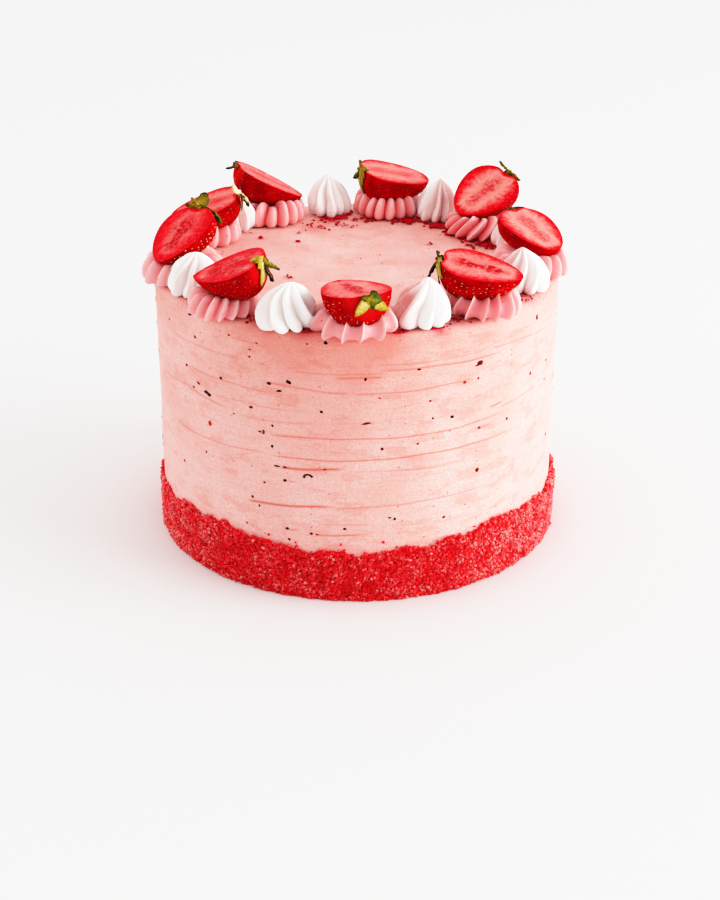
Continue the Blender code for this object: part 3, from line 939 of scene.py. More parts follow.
SEED_SUNK = 0.18 * MM             # how far a seed's middle lies under the smooth skin
SEEDS_START = 0.07                # where the seeds begin, part of the length from the stem,
SEEDS_REACH = 0.88                # and how far they go on from there
SEEDS_EDGE = 0.08                 # the turn beside the cut face that they leave bare
SKIN_UNEVEN = 0.035               # how uneven the skin is, part of its reach
FACE_UNEVEN = 0.14 * MM           # how uneven the cut face is,
FACE_HOLLOW = 0.25 * MM           # and how deep its middle lies
FLAT_ENOUGH = 0.9999              # cosine between faces that count as one flat

BerryPose = namedtuple("BerryPose", "middle axes length width depth blunt")


def cut_face(mesh):
    """Normal and centre of the largest flat of a node."""
    flats = mesh.polygons
    normals = np.array([flat.normal[:] for flat in flats])
    areas = np.array([flat.area for flat in flats])
    same_way = (normals @ normals.T > FLAT_ENOUGH) @ areas
    normal = normals[np.argmax(same_way)]
    face = [i for i in range(len(flats)) if normals[i] @ normal > FLAT_ENOUGH]
    centre = sum(areas[i] * np.array(flats[i].center) for i in face) / areas[face].sum()
    return normal, centre


def berry_pose(number):
    """Where a berry's node lies: its cut face is its largest flat, its tip the narrower end."""
    name = f"strawberry_{number}"
    normal, centre = cut_face(frame["nodes"][name].data)
    points = node_points(name)
    level = points @ normal
    rim = points[level > level.max() - SAME_LEVEL]
    apart = np.linalg.norm(rim[:, None] - rim[None], axis=-1)
    ends = rim[list(np.unravel_index(np.argmax(apart), apart.shape))]
    if np.linalg.norm(ends[0] - centre) > np.linalg.norm(ends[1] - centre):
        ends = ends[::-1]
    along = (ends[1] - ends[0]) / np.linalg.norm(ends[1] - ends[0])
    across = np.cross(normal, along)
    middle = ends.mean(0)
    axes = np.stack([along, across, normal], -1)
    width = 2 * np.abs((rim - middle) @ across).max()
    depth = level.max() - level.min()
    return BerryPose(middle, axes, apart.max(), width, depth, BERRY_LOOKS[number - 1].blunt)


def laid(pose, local):
    """Places points given in a berry's own frame, which has its tip at +X and its cut face up."""
    return local @ pose.axes.T + pose.middle


def berry_width(part, blunt):
    """The outline's half width, part of the widest, at a part of the length from the stem."""
    to_stem = 1 - (np.clip(BERRY_WIDEST - part, 0, 1) / BERRY_WIDEST) ** STEM_FULLNESS
    to_tip = 1 - (np.clip(part - BERRY_WIDEST, 0, 1) / (1 - BERRY_WIDEST)) ** 1.7
    return np.where(part < BERRY_WIDEST, np.clip(to_stem, 0, 1) ** 0.5, np.clip(to_tip, 0, 1) ** blunt)


def skin_point(pose, part, turn):
    """A point of the smooth skin: part of the length, and a turn from one edge to the other."""
    wide = berry_width(part, pose.blunt)
    x = (part - 0.5) * pose.length
    y = -np.cos(turn) * pose.width / 2 * wide
    z = -np.sin(turn) * pose.depth * wide
    return np.stack([x, y, z], -1)


def dented(pose, points):
    """Moves points near the stem inwards."""
    from_stem = points - np.array([-pose.length / 2, 0, 0])
    dent = STEM_DENT * np.exp(-((np.linalg.norm(from_stem, axis=-1) / STEM_DENT_RADIUS) ** 2))
    return points + dent[..., None] * np.array([1, 0, 0])


def seed_places(pose, rng):
    """Parts and turns of the seeds, in staggered rows round the berry."""
    places = []
    rows = int(pose.length * 0.95 / SEED_SPACING)
    for row in range(rows):
        part = SEEDS_START + SEEDS_REACH * (row + 0.5) / rows
        wide = float(berry_width(part, pose.blunt))
        half_girth = math.pi * 0.5 * (pose.width / 2 + pose.depth) * wide
        count = max(1, int(half_girth / SEED_SPACING))
        for i in range(count):
            turn = math.pi * (i + 0.5 + 0.5 * (row % 2) - 0.25) / count
            turn += rng.normal(0, 0.05)
            if SEEDS_EDGE < turn < math.pi - SEEDS_EDGE:
                places.append((part + rng.normal(0, 0.008), turn))
    return np.array(places)


def flesh_paint(face_part, side, look, rng):
    """What the cut face shows: depth from the middle to the rim, pale rays and core streaks."""
    wide = np.abs(side)
    ends = np.maximum(smooth_step(face_part, 0.14, 0.0), smooth_step(face_part, 0.72, 1.0))
    depth = np.clip(np.maximum(wide, ends * 0.95), 0, 1)
    inside = 1 - look.rim
    shown = np.where(depth < inside, depth / inside * 0.68, 0.68 + 0.32 * (depth - inside) / look.rim)
    turn = np.arctan2(side, (face_part - 0.45) * 2.2)
    comb = np.sin(turn * 17 + 3 * np.sin(turn * 3)) * 0.5 + 0.5
    ray = comb ** 3 * smooth_step(depth, 0.2, 0.4) * smooth_step(depth, inside + 0.05, inside - 0.12)
    ray = np.maximum(ray * 0.55, look.pale * 0.5 * smooth_step(depth, inside, inside - 0.3))
    waver = 0.3 * look.spread * np.sin(face_part * 17 + rng.uniform(0, 6))
    core = look.core * smooth_step(wide + waver, look.spread, 0.6 * look.spread)
    core *= smooth_step(face_part, 0.12, 0.28) * smooth_step(face_part, 0.9, 0.68)
    return shown, ray * (1 - 0.5 * core), core


def berry_skin(number, pose, part, turn, seeds):
    """The skin's points, and how far each of them lies in a seed's dimple."""
    grid = skin_point(pose, part, turn)
    uneven = 1 + SKIN_UNEVEN * even_noise(grid + number, 9 * MM, 31) * np.sin(turn)
    grid[..., 1:] *= uneven[..., None]
    gap = np.linalg.norm(grid[:, :, None] - seeds[None, None], axis=-1).min(-1)
    dimple = np.exp(-((gap / DIMPLE_RADIUS) ** 2))
    inward = grid * (1, 0, 0) - grid
    inward /= np.linalg.norm(inward, axis=-1, keepdims=True)
    return grid + inward * (dimple * DIMPLE_DEPTH)[..., None], dimple


def berry_face(number, pose, part, side):
    """The cut face's points, a little uneven and hollow along the middle."""
    grid = skin_point(pose, part, np.zeros(part.shape))
    grid[..., 1] = side * pose.width / 2 * berry_width(part, pose.blunt)
    relief = FACE_UNEVEN * even_noise(grid + number, 3 * MM, 32)
    grid[..., 2] = relief - FACE_HOLLOW * smooth_step(np.abs(side), 0.35, 0.0)
    return grid


def mark_flesh(piece, columns):
    """Gives the second material to the quads beyond the skin's columns."""
    is_flesh = np.zeros(len(piece.data.polygons), np.int32)
    quad_column = np.arange((SKIN_ROWS - 1) * columns) % columns
    is_flesh[: len(quad_column)] = quad_column >= SKIN_STEPS - 1
    piece.data.polygons.foreach_set("material_index", is_flesh)


def paint_half(piece, of_skin, of_face):
    """Paints a half's skin and face. What only one of them has is 0 on the other."""
    bare_skin = np.zeros((SKIN_ROWS, SKIN_STEPS))
    bare_face = np.zeros((SKIN_ROWS, FACE_COLUMNS - 1))
    for name in {**of_skin, **of_face}:
        values = np.hstack([of_skin.get(name, bare_skin), of_face.get(name, bare_face)]).ravel()
        paint(piece, name, np.append(values, (values[0], values[-1])))


def berry_half(number, pose, skin, flesh):
    """One closed body: the dimpled skin below and the cut face on top."""
    rng = np.random.default_rng(100 + number)
    look = BERRY_LOOKS[number - 1]
    places = seed_places(pose, rng)
    rows = (1 - np.cos(np.linspace(SKIN_ENDS, math.pi - SKIN_ENDS, SKIN_ROWS))) / 2
    part, turn = np.meshgrid(rows, np.linspace(0, math.pi, SKIN_STEPS), indexing="ij")
    skin_grid, dimple = berry_skin(number, pose, part, turn, skin_point(pose, *places.T))
    across = np.linspace(-1, 1, FACE_COLUMNS + 1)[1:-1][::-1]
    face_part, side = np.meshgrid(rows, across, indexing="ij")
    face_grid = berry_face(number, pose, face_part, side)
    grid = dented(pose, np.concatenate([skin_grid, face_grid], axis=1))
    body = closed_body(grid, (-pose.length / 2 + STEM_DENT, 0, 0), (pose.length / 2, 0, 0))
    piece = make_piece(f"berry_half_{number}", laid(pose, body[0]), body[1], skin, flesh)
    mark_flesh(piece, grid.shape[1])
    shown, ray, core = flesh_paint(face_part, side, look, rng)
    ripe = np.clip(look.ripe * (0.75 + 0.45 * even_noise(face_grid + number, 5 * MM, 33)), 0, 1)
    shoulder = 0.7 * smooth_step(part, 0.12, 0.0)
    # dimple: where painted shade darkens the skin round the seeds
    of_skin = {"depth": np.ones(part.shape), "dimple": 0.7 * dimple, "shoulder": shoulder}
    of_face = {"depth": shown, "ray": ray, "core": core, "ripe": ripe}
    paint_half(piece, of_skin, of_face)
    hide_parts(f"strawberry_{number}")
    return piece, places


def berry_seeds(poses, all_places, material):
    """All the seeds, each a small drop lying in its dimple and pointing along the berry."""
    rng = np.random.default_rng(41)
    centres, frames, sizes, tones = [], [], [], []
    for pose, places, look in zip(poses, all_places, BERRY_LOOKS):
        part, turn = places.T
        here = skin_point(pose, part, turn)
        ahead = skin_point(pose, part + 0.01, turn) - here
        beside = skin_point(pose, part, turn + 0.02) - here
        normals = np.cross(beside, ahead)
        normals *= np.sign((normals * (here * (0, 1, 1))).sum(-1))[:, None]
        normals /= np.linalg.norm(normals, axis=-1, keepdims=True)
        centres.append(laid(pose, here - normals * SEED_SUNK))
        frames.append(np.einsum("ij,njk->nik", pose.axes, frames_facing(normals, ahead)))
        sizes.append(rng.uniform(0.8, 1.15, (len(places), 1)) * SEED_SIZE)
        tones.append(look.seeds + rng.uniform(-0.2, 0.2, len(places)))
    centres, frames, sizes = (np.concatenate(each) for each in (centres, frames, sizes))
    points, faces = scatter(ball(1), centres, frames, sizes, 0.05, rng)
    piece = make_piece("strawberry_seeds", points, faces, material)
    tone = np.clip(np.concatenate(tones), 0, 1)
    paint(piece, "tone", np.repeat(tone, len(points) // len(tone)))


# ---------------------------------------------------------------- leaves

# A leaf starts at the stem end of a berry. turn is its direction seen along the berry from
# the stem: 0 to the berry's left, 90 up past the cut face, -90 down the skin. reach and
# width are in millimetres. sweep leans it along the berry (positive) or off it (negative),
# in degrees, and curl bends its tip on in the same way. tone goes from black brown (0) by
# dry brown (0.12), dark green (0.36), olive (0.6) and yellow green (0.72) to cream (1).
Leaf = namedtuple("Leaf", "turn reach width sweep curl tone")
LEAVES = (
    table(
        Leaf,
        (60, 6.6, 5.4, -68, 10, 0.66), (165, 7.0, 4.2, -5, 10, 0.74),
        (150, 6.4, 3.4, -30, 10, 0.82), (-18, 14.0, 4.2, -10, 60, 0.58),
        (-70, 8, 3.4, 20, 20, 0.55),
    ),
    table(
        Leaf,
        (88, 5.8, 4.8, 5, 15, 1.04), (-5, 9, 4.4, -45, 40, 1.04), (-18, 9.5, 3.4, -45, 50, 0.1),
        (-75, 7, 3.0, 15, 20, 0.5),
    ),
    table(
        Leaf,
        (120, 2.4, 1.4, -60, 20, 0.12), (-80, 4.4, 1.8, -50, 0, 0.1), (20, 4.5, 2.4, 10, 20, 0.2),
    ),
    table(
        Leaf,
        (95, 4.8, 2.8, -25, 10, 0.7), (-130, 9.5, 6.2, -5, 85, 0.66),
        (-165, 9.0, 5.6, 0, 95, 0.66), (-110, 12.5, 4.0, 0, 60, 0.64),
        (-60, 7.0, 4.0, 10, 15, 0.5), (-75, 5.6, 3.6, -22, 10, 0.44),
    ),
    table(
        Leaf,
        (160, 6.8, 2.0, -12, 10, 0.66), (5, 7.6, 3.0, -5, 20, 0.7), (-60, 7, 3.2, 20, 20, 0.45),
        (-130, 7, 3.2, 20, 20, 0.45),
    ),
    table(
        Leaf,
        (178, 8.0, 1.2, 12, 20, 0.08), (5, 7.2, 1.2, 18, 10, 0.06), (-60, 6.5, 3.0, 20, 20, 0.4),
        (-120, 6.5, 3.0, 20, 20, 0.4),
    ),
    table(
        Leaf,
        (95, 3.8, 2.6, -28, 10, 0.5), (150, 4.6, 3.6, 0, 60, 0.09),
        (-165, 6.0, 3.6, -25, 70, 0.08), (-160, 10.8, 6.6, -12, 74, 0.78),
        (-140, 9.6, 2.8, -20, 10, 0.02), (-125, 6.4, 2.8, -34, 30, 0.02),
        (-108, 13.5, 1.4, 12, 5, 0.0), (-50, 8, 3.0, 20, 20, 0.25),
    ),
    table(
        Leaf,
        (-52, 9.0, 4.2, 20, 20, 0.82), (-168, 6.0, 6.6, -25, 60, 0.46),
        (-147, 10.5, 4.2, 0, 20, 0.76), (20, 2.8, 2.4, 0, 20, 0.5), (-100, 4.5, 3.0, 25, 10, 0.6),
    ),
    table(
        Leaf,
        (35, 5.2, 4.6, 50, 20, 0.82), (-5, 5.5, 5.0, 5, 30, 0.74), (-58, 9.6, 4.4, 8, 15, 0.86),
        (-85, 7.2, 2.8, -48, 0, 0.56), (-78, 8.8, 2.8, -14, 10, 0.1),
        (-100, 7.0, 3.6, 0, 20, 0.72), (-140, 7, 3.2, 20, 20, 0.45),
    ),
)
LEAF_ROWS = 13
LEAF_STEPS = 6
LEAF_THICKNESS = 0.35 * MM
LEAF_GAP = 0.15 * MM              # between a leaf and the skin it lies on
LEAF_CUP = 0.22                   # how far a leaf's edges bend back, part of its width
LEAF_WAVER = 0.08                 # and how much they waver
STEM_BELOW_CUT = 1.0 * MM
STEM_RADIUS = 1.2 * MM
STEM_SHAPE = (1.2, 1, 0.9)        # its length, width and height, parts of its radius


def skin_limit(pose, points):
    """How far along the berry a point may lie before it meets the skin. Above the face, anywhere."""
    reach = np.hypot(points[..., 1] / (pose.width / 2), np.minimum(points[..., 2], 0) / pose.depth)
    reach = np.clip(reach, 0, 1)
    part = BERRY_WIDEST * (1 - (1 - reach ** 2) ** (1 / STEM_FULLNESS))
    below = (part - 0.5) * pose.length - LEAF_GAP - LEAF_THICKNESS
    return np.where(points[..., 2] > LEAF_GAP + LEAF_THICKNESS, pose.length, below)


def leaf_shape(leaf, pose, rng):
    """The two skins of a cupped leaf, in the berry's own frame, and how far out each point is."""
    part = np.linspace(0, 1, LEAF_ROWS)
    side = np.linspace(-1, 1, LEAF_STEPS + 1)
    turn = math.radians(leaf.turn)
    outward = np.array([0, math.cos(turn), math.sin(turn)])
    across = np.array([0, -math.sin(turn), math.cos(turn)])
    lean = np.radians(leaf.sweep + leaf.curl * part)
    steps = np.column_stack([np.sin(lean), np.cos(lean)]) * leaf.reach * MM / (LEAF_ROWS - 1)
    spine = np.vstack([(0, 0), np.cumsum(steps, 0)[:-1]])
    half = leaf.width * MM / 2 * np.sin(np.pi * (0.12 + 0.86 * part)) ** 0.5 * (1.1 - 0.25 * part)
    half[-1] = 0.1 * MM
    uneven = 1 + 0.3 * rng.normal(size=(LEAF_ROWS, 1))
    cup = -LEAF_CUP * leaf.width * MM * (side ** 2)[None, :] * uneven
    wave = np.sin(9 * part + rng.uniform(0, 6))
    waver = LEAF_WAVER * leaf.width * MM * wave[:, None] * side[None, :]
    along_x = spine[:, :1] - (cup + waver) * np.cos(lean)[:, None]
    out = spine[:, 1:] + cup * np.sin(lean)[:, None]
    flat = side[None, :] * half[:, None]
    inner = along_x[..., None] * (1, 0, 0) + out[..., None] * outward + flat[..., None] * across
    inner = inner + np.array([-pose.length / 2 - 0.3 * MM, 0, -STEM_BELOW_CUT])
    inner[..., 0] = np.minimum(inner[..., 0], skin_limit(pose, inner))
    off = np.cos(lean)[:, None] * (-1, 0, 0) + np.sin(lean)[:, None] * outward
    outer = inner + LEAF_THICKNESS * off[:, None, :]
    return inner, outer, np.broadcast_to(np.abs(side), out.shape)


def leaf_body(inner, outer):
    """Closes a leaf's two skins along their edges."""
    loop = np.concatenate([inner, outer[:, ::-1]], axis=1)
    return closed_body(loop, loop[0].mean(0), loop[-1].mean(0))


def leaf_paint(leaf, side):
    """The tone and the vein of every point of a leaf's two skins."""
    part = np.linspace(0, 1, LEAF_ROWS)[:, None]
    tone = leaf.tone + 0.05 - 0.16 * part ** 2 - 0.14 * side ** 4
    vein = 0.5 * np.exp(-((side / 0.16) ** 2)) * (1 - part) * (leaf.tone > 0.3)
    both = [np.concatenate([values, values[:, ::-1]], axis=1).ravel() for values in (tone, vein)]
    return [np.append(values, (values[0], values[-1])) for values in both]


def leaf_crown(number, pose, material):
    """A berry's stem stump and its leaves, as one piece."""
    rng = np.random.default_rng(200 + number)
    stem = (-pose.length / 2 - 0.4 * MM, 0, -STEM_BELOW_CUT)
    stem_size = STEM_RADIUS * np.array(STEM_SHAPE)
    points, faces = scatter(ball(2), [stem], np.eye(3)[None], [stem_size], 0.1, rng)
    all_points, all_faces = [points], faces.tolist()
    stem_tone = np.mean([leaf.tone for leaf in LEAVES[number - 1]])
    tones, veins = [np.full(len(points), stem_tone)], [np.zeros(len(points))]
    count = len(points)
    for leaf in LEAVES[number - 1]:
        inner, outer, side = leaf_shape(leaf, pose, rng)
        points, faces = leaf_body(inner, outer)
        tone, vein = leaf_paint(leaf, side)
        all_points.append(points)
        all_faces += [[index + count for index in face] for face in faces]
        tones.append(tone)
        veins.append(vein)
        count += len(points)
    piece = make_piece(f"leaf_crown_{number}", laid(pose, np.vstack(all_points)), all_faces, material)
    paint(piece, "tone", np.concatenate(tones))
    paint(piece, "vein", np.concatenate(veins))
    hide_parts(f"calyx_{number}")


# ---------------------------------------------------------------- piped shapes

def ribs_round(count, steps):
    """For each column of a ribbed shape: the rib it follows, the part of the way from there to
    the next one, and the rib that is nearer."""
    rib, step = np.divmod(np.arange(count * steps), steps)
    way = step / steps
    return rib, way, (rib + (way >= 0.5)) % count


# ---------------------------------------------------------------- meringue kisses

KISS_FOOT = 0.88                  # radius at the foot, part of the widest
KISS_STEPS = 18                   # columns to a rib
KISS_ROWS = 32
# Parts of the widest radius and of the height, from the foot up to the peak.
KISS_LINE = ((0.78, 0.0), (0.91, 0.04), (0.99, 0.14), (1.0, 0.27), (0.93, 0.43), (0.77, 0.60),
             (0.54, 0.76), (0.29, 0.88), (0.12, 0.96), (0.035, 1.0))
# The same for a squat kiss with full shoulders.
KISS_FULL_LINE = ((0.78, 0.0), (0.91, 0.04), (0.99, 0.14), (1.0, 0.27), (0.97, 0.43), (0.89, 0.60),
                  (0.74, 0.76), (0.52, 0.89), (0.28, 0.97), (0.05, 1.0))
KISS_SHARP = 0.85                 # how sharp the ribs are towards the peak, from 0 to 1
RIB_BULGE = 0.05                  # how unevenly the ribs stand out, part of their reach,
RIB_SHIFT = 0.1                   # and how unevenly they are spaced, part of a rib
KISS_WAVER = 5                    # degrees by which the ribs waver on their way up
KISS_UNEVEN = 0.42 * MM           # how uneven the whole kiss is
CREASE_LIFT = 0.6 * MM            # how far the creases' feet are off the cream
# ribs, the azimuth of one, how far they turn up to the peak, how deep the creases are, how
# pink the side is at an azimuth, partly from red dust and partly as painted shade, and how full the
# shoulders are, from 0 to 1.
KissLook = namedtuple("KissLook", "ribs start twist groove pink pink_side full")
KISS_LOOKS = table(
    KissLook,
    (10, 0, 40, 0.24, 0.1, -90, 0.6), (9, 14, -34, 0.24, 0.15, 180, 0.75),
    (8, 6, 26, 0.27, 0.75, 180, 0), (8, 20, 30, 0.27, 0.4, 190, 0.15),
    (9, 9, 20, 0.24, 0.2, 180, 0), (10, 3, 18, 0.28, 0.35, -60, 0), (10, 16, 16, 0.28, 0.05, 0, 0),
    (9, 28, 20, 0.24, 0.15, -90, 0), (9, 11, 24, 0.24, 0.2, 0, 0.3),
)


def kiss_size(number):
    """Centre and widest radius in plan, foot height and peak of a kiss's node."""
    name = f"meringue_{number}"
    centre, foot_radius = foot_circle(name)
    points = node_points(name)
    return centre, foot_radius / KISS_FOOT, points[:, 2].min(), points[np.argmax(points[:, 2])]


def kiss_angles(number, look, up, rng):
    """The angle of every column in every row: unevenly spaced ribs that turn on their way up."""
    rib, way, _ = ribs_round(look.ribs, KISS_STEPS)
    shift = rng.normal(0, RIB_SHIFT, look.ribs + 1)
    shift[-1] = shift[0]
    column = rib + way + mixed(shift[rib], shift[rib + 1], way)
    turn = look.start + look.twist * up ** 1.3 + KISS_WAVER * np.sin(5 * up + number)
    return math.tau * column[None, :] / look.ribs + np.radians(turn)


def kiss_grid(number, look):
    """A kiss's points, row by row, and where they lie on a crest (1) or in a crease (0)."""
    rng = np.random.default_rng(300 + number)
    centre, radius, foot, peak = kiss_size(number)
    slim, full = (curve_through(outline, KISS_ROWS) for outline in (KISS_LINE, KISS_FULL_LINE))
    line = mixed(slim, full, look.full)
    up = line[:, 1:]
    _, way, nearest = ribs_round(look.ribs, KISS_STEPS)
    lobe = np.abs(np.cos(np.pi * way)) ** 0.8
    ridge = 1 - np.abs(np.sin(np.pi * way)) ** 1.1
    sharp = KISS_SHARP * smooth_step(up, 0.1, 0.5)
    crest = mixed(lobe, ridge, sharp)
    groove = look.groove * (1 + 0.3 * smooth_step(up, 0.25, 0.0) + 0.6 * sharp)
    bulge = 1 + rng.normal(0, RIB_BULGE, look.ribs)[nearest] * lobe
    reach = radius * line[:, :1] * (1 - groove * (1 - crest)) * bulge
    bend = (peak[:2] - centre) * up[..., None] ** 2
    plan = around(kiss_angles(number, look, up, rng), reach) + centre + bend
    lift = CREASE_LIFT * (1 - crest) * smooth_step(up, 0.12, 0.0)
    grid = np.dstack([plan, foot + (peak[2] - foot) * up + lift])
    for axis in range(3):
        loose = grid[..., 2] > foot + 0.1 * MM
        grid[..., axis] += KISS_UNEVEN * even_noise(grid, 6 * MM, 51 + axis) * loose
    return grid, crest


def kiss(number, material):
    """One closed meringue kiss, with painted shade in its creases, and red dust and a pink tint of dust
    and painted shade on one side.
    """
    look = KISS_LOOKS[number - 1]
    centre, _, foot, peak = kiss_size(number)
    grid, crest = kiss_grid(number, look)
    points, faces = closed_body(grid, (*centre, foot), peak)
    piece = make_piece(f"kiss_{number}", points, faces, material)
    # how far each point lies in a crease, where the material paints shade
    paint(piece, "crease", np.append((1 - crest).ravel(), (0, 0)))
    x, y = (points[:, :2] - centre).T
    facing = np.cos(np.arctan2(y, x) - math.radians(look.pink_side))
    uneven = 0.85 + 0.5 * even_noise(points, 4 * MM, 54)
    # pink side: partly red dust, partly painted shade
    paint(piece, "pink", np.clip(look.pink * smooth_step(facing, -0.1, 0.9) * uneven, 0, 1))
    dusty = 0.5 * look.pink * smooth_step(facing, 0.5, 1)
    paint(piece, "stain", np.clip(0.6 * stained(points) + dusty, 0, 1))
    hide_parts(f"meringue_{number}")


# ---------------------------------------------------------------- piped rosettes

ROSETTE_FOOT = 0.90               # radius at the foot, part of the widest
ROSETTE_STEPS = 16                # columns to a ridge
ROSETTE_ROWS = 24
HOLLOW_DEPTH = 2.8 * MM
MIDDLE_HEIGHT = 0.72              # where the middle under the berry is, part of the height
RIDGE_UNEVEN = (0.06, 0.02, 0.05)  # how uneven ridges are in height, reach and place, part of each
ROSETTE_UNEVEN = 0.1 * MM         # how uneven the whole rosette is
# Parts of the widest radius and of the height, for a sharp ridge, for a round one and for
# the hollow beside it.
RIDGE_LINE = ((0.88, 0.0), (0.97, 0.10), (1.02, 0.26), (1.01, 0.45), (0.95, 0.64), (0.87, 0.82),
              (0.77, 1.0), (0.62, 0.92), (0.42, 0.80), (0.2, 0.74), (0.04, 0.72))
ROUND_LINE = ((0.80, 0.0), (0.94, 0.05), (1.01, 0.17), (1.02, 0.34), (1.0, 0.53), (0.95, 0.73),
              (0.87, 0.90), (0.75, 0.99), (0.6, 0.97), (0.3, 0.82), (0.04, 0.72))
HOLLOW_LINE = ((0.82, 0.03), (0.93, 0.12), (0.98, 0.26), (0.97, 0.42), (0.91, 0.56), (0.83, 0.67),
               (0.72, 0.74), (0.58, 0.75), (0.42, 0.74), (0.2, 0.73), (0.04, 0.72))
# ridges, the azimuth of one, how far they turn up to the crown, how deep the hollows are,
# how far a ridge leans over the hollow beside it, from -1 to 1, how round the ridges are,
# from 0 for a knife edge to 1, and how red the hollows are, partly red dust and partly painted shade.
RosetteLook = namedtuple("RosetteLook", "ridges start twist depth skew round red")
ROSETTE_LOOKS = table(
    RosetteLook,
    (14, 5, 10, 0.8, 0.5, 0.8, 0.1), (15, 0, 10, 0.9, 0.2, 0.9, 0.15),
    (15, 9, 5, 0.85, 0.0, 1.0, 0.8), (16, 4, 4, 0.9, 0.0, 1.0, 0.85),
    (14, 12, 34, 1.2, 0.4, 0.75, 1.0), (15, 2, 12, 1.0, 0.5, 0.6, 0.3),
    (14, 8, 12, 1.2, 0.3, 0.0, 0.4), (12, 11, 8, 1.0, 0.25, 0.0, 0.1),
    (15, 0, 18, 1.1, 0.6, 0.7, 0.35),
)
DROOP = 1.0 * MM                  # how far a ridge's foot hangs down beyond the cake's rim
PRESS_GAP = 0.15 * MM


def press_under(points, tree, floor):
    """Pushes points down to just under what lies on them."""
    up = Vector((0, 0, 1))
    for point in points:
        place = tree.ray_cast(Vector((point[0], point[1], floor - 1 * MM)), up)[0]
        if place is not None and point[2] > place.z - PRESS_GAP:
            point[2] = max(place.z - PRESS_GAP, floor + 0.1 * MM)


def give_way(points, kisses):
    """Pushes points out of the kisses that stand beside them."""
    reaches, heights = zip(*KISS_LINE)
    for centre, radius, foot, peak in kisses:
        away = points[:, :2] - centre
        reach = np.linalg.norm(away, axis=1)
        part = np.clip((points[:, 2] - foot) / (peak[2] - foot), 0, 1)
        room = radius * np.interp(part, heights, reaches) - 0.4 * MM
        near = reach < room
        points[near, :2] = centre + away[near] / reach[near, None] * room[near, None]


def ridge_places(look, way):
    """Where each column goes between two ridges: nearer to sharp ones, and leaning over."""
    place = way - (0.55 - 0.7 * look.round) * np.sin(math.tau * way) / math.tau
    return place + 0.12 * look.skew * np.sin(np.pi * place) ** 2


def rosette_grid(number, look, centre, radius, floor, tall):
    """A rosette's points, row by row, which columns lie in hollows and which rows outside."""
    rng = np.random.default_rng(400 + number)
    ridge, way, nearest = ribs_round(look.ridges, ROSETTE_STEPS)
    hollow = mixed(np.sin(np.pi * way) ** 0.7, 1 - np.abs(np.cos(np.pi * way)) ** 0.85, look.round)
    sharp_line, round_line, hollow_line = (
        curve_through(line, ROSETTE_ROWS) for line in (RIDGE_LINE, ROUND_LINE, HOLLOW_LINE)
    )
    ridge_line = mixed(sharp_line, round_line, look.round)
    line = mixed(ridge_line[:, None], hollow_line[:, None], hollow[None, :, None])
    outer = smooth_step(ridge_line[:, 0], 0.3, 0.7)[:, None]
    taller, wider, aside = (
        rng.normal(0, uneven, look.ridges)[nearest] * (1 - hollow) for uneven in RIDGE_UNEVEN
    )
    reach = radius * line[..., 0] * (1 + wider) - HOLLOW_DEPTH * look.depth * hollow * outer
    angle = math.tau * (ridge + ridge_places(look, way) + aside) / look.ridges
    angle = angle[None, :] + np.radians(look.start + look.twist * ridge_line[:, 1:])
    plan = around(angle, reach) + centre
    hang = smooth_step(np.linalg.norm(plan, axis=-1), CAKE_RADIUS - 0.5 * MM, CAKE_RADIUS + 6 * MM)
    height = floor + tall * line[..., 1] * (1 + taller)
    grid = np.dstack([plan, height - DROOP * hang * smooth_step(line[..., 1], 0.7, 0.0)])
    return grid + ROSETTE_UNEVEN * even_noise(grid, 2.2 * MM, 61)[..., None], hollow, outer


def paint_rosette(piece, look, grid, hollow, outer):
    """A painted highlight on the narrow ridges, and hollows that are red partly from red dust and
    partly as painted shade, on the outside only.
    """
    _, way, _ = ribs_round(look.ridges, ROSETTE_STEPS)
    ridge_highlight = np.exp(-((way - np.round(way)) / (0.07 + 0.12 * look.round)) ** 2)[None, :] * outer
    paint(piece, "ridge", np.append((0.85 - 0.3 * look.round) * ridge_highlight.ravel(), (0, 0)))
    uneven = 0.8 + 0.5 * even_noise(grid, 3 * MM, 62)
    red = np.clip(look.red * (hollow ** 1.4)[None, :] * outer * uneven, 0, 1)
    paint(piece, "hollow", np.append(red.ravel(), (0, 0)))


def rosette(number, berry, kisses, material):
    """One closed piped rosette, pressed flat under its berry and clear of the kisses."""
    look = ROSETTE_LOOKS[number - 1]
    name = f"rosette_{number}"
    centre, foot_radius = foot_circle(name)
    heights = node_points(name)[:, 2]
    floor = heights.min()
    tall = heights.max() - floor
    grid, hollow, outer = rosette_grid(number, look, centre, foot_radius / ROSETTE_FOOT, floor, tall)
    ends = (*centre, floor + 0.2 * MM), (*centre, floor + MIDDLE_HEIGHT * tall)
    points, faces = closed_body(grid, *ends)
    give_way(points, kisses)
    press_under(points, berry, floor)
    piece = make_piece(f"piped_rosette_{number}", points, faces, material)
    paint_rosette(piece, look, grid, hollow, outer)
    paint(piece, "stain", 0.9 * stained(points))
    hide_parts(name)


# ---------------------------------------------------------------- red flecks on the top

LOOSE_FLECKS = 46                 # single small bits anywhere on the top,
LOOSE_REACH = 78                  # this far from the middle at most, in millimetres
FLECK_LIMIT = 82                  # and bits of a cluster this far, in millimetres
DUST_REACH = 0.5                  # how far bits usually lie from a kiss's foot, in millimetres
FLECK_HEAP = 0.4                  # how high bits in a cluster lie on each other, in millimetres
FLECK_TALLEST = 1.1               # in millimetres

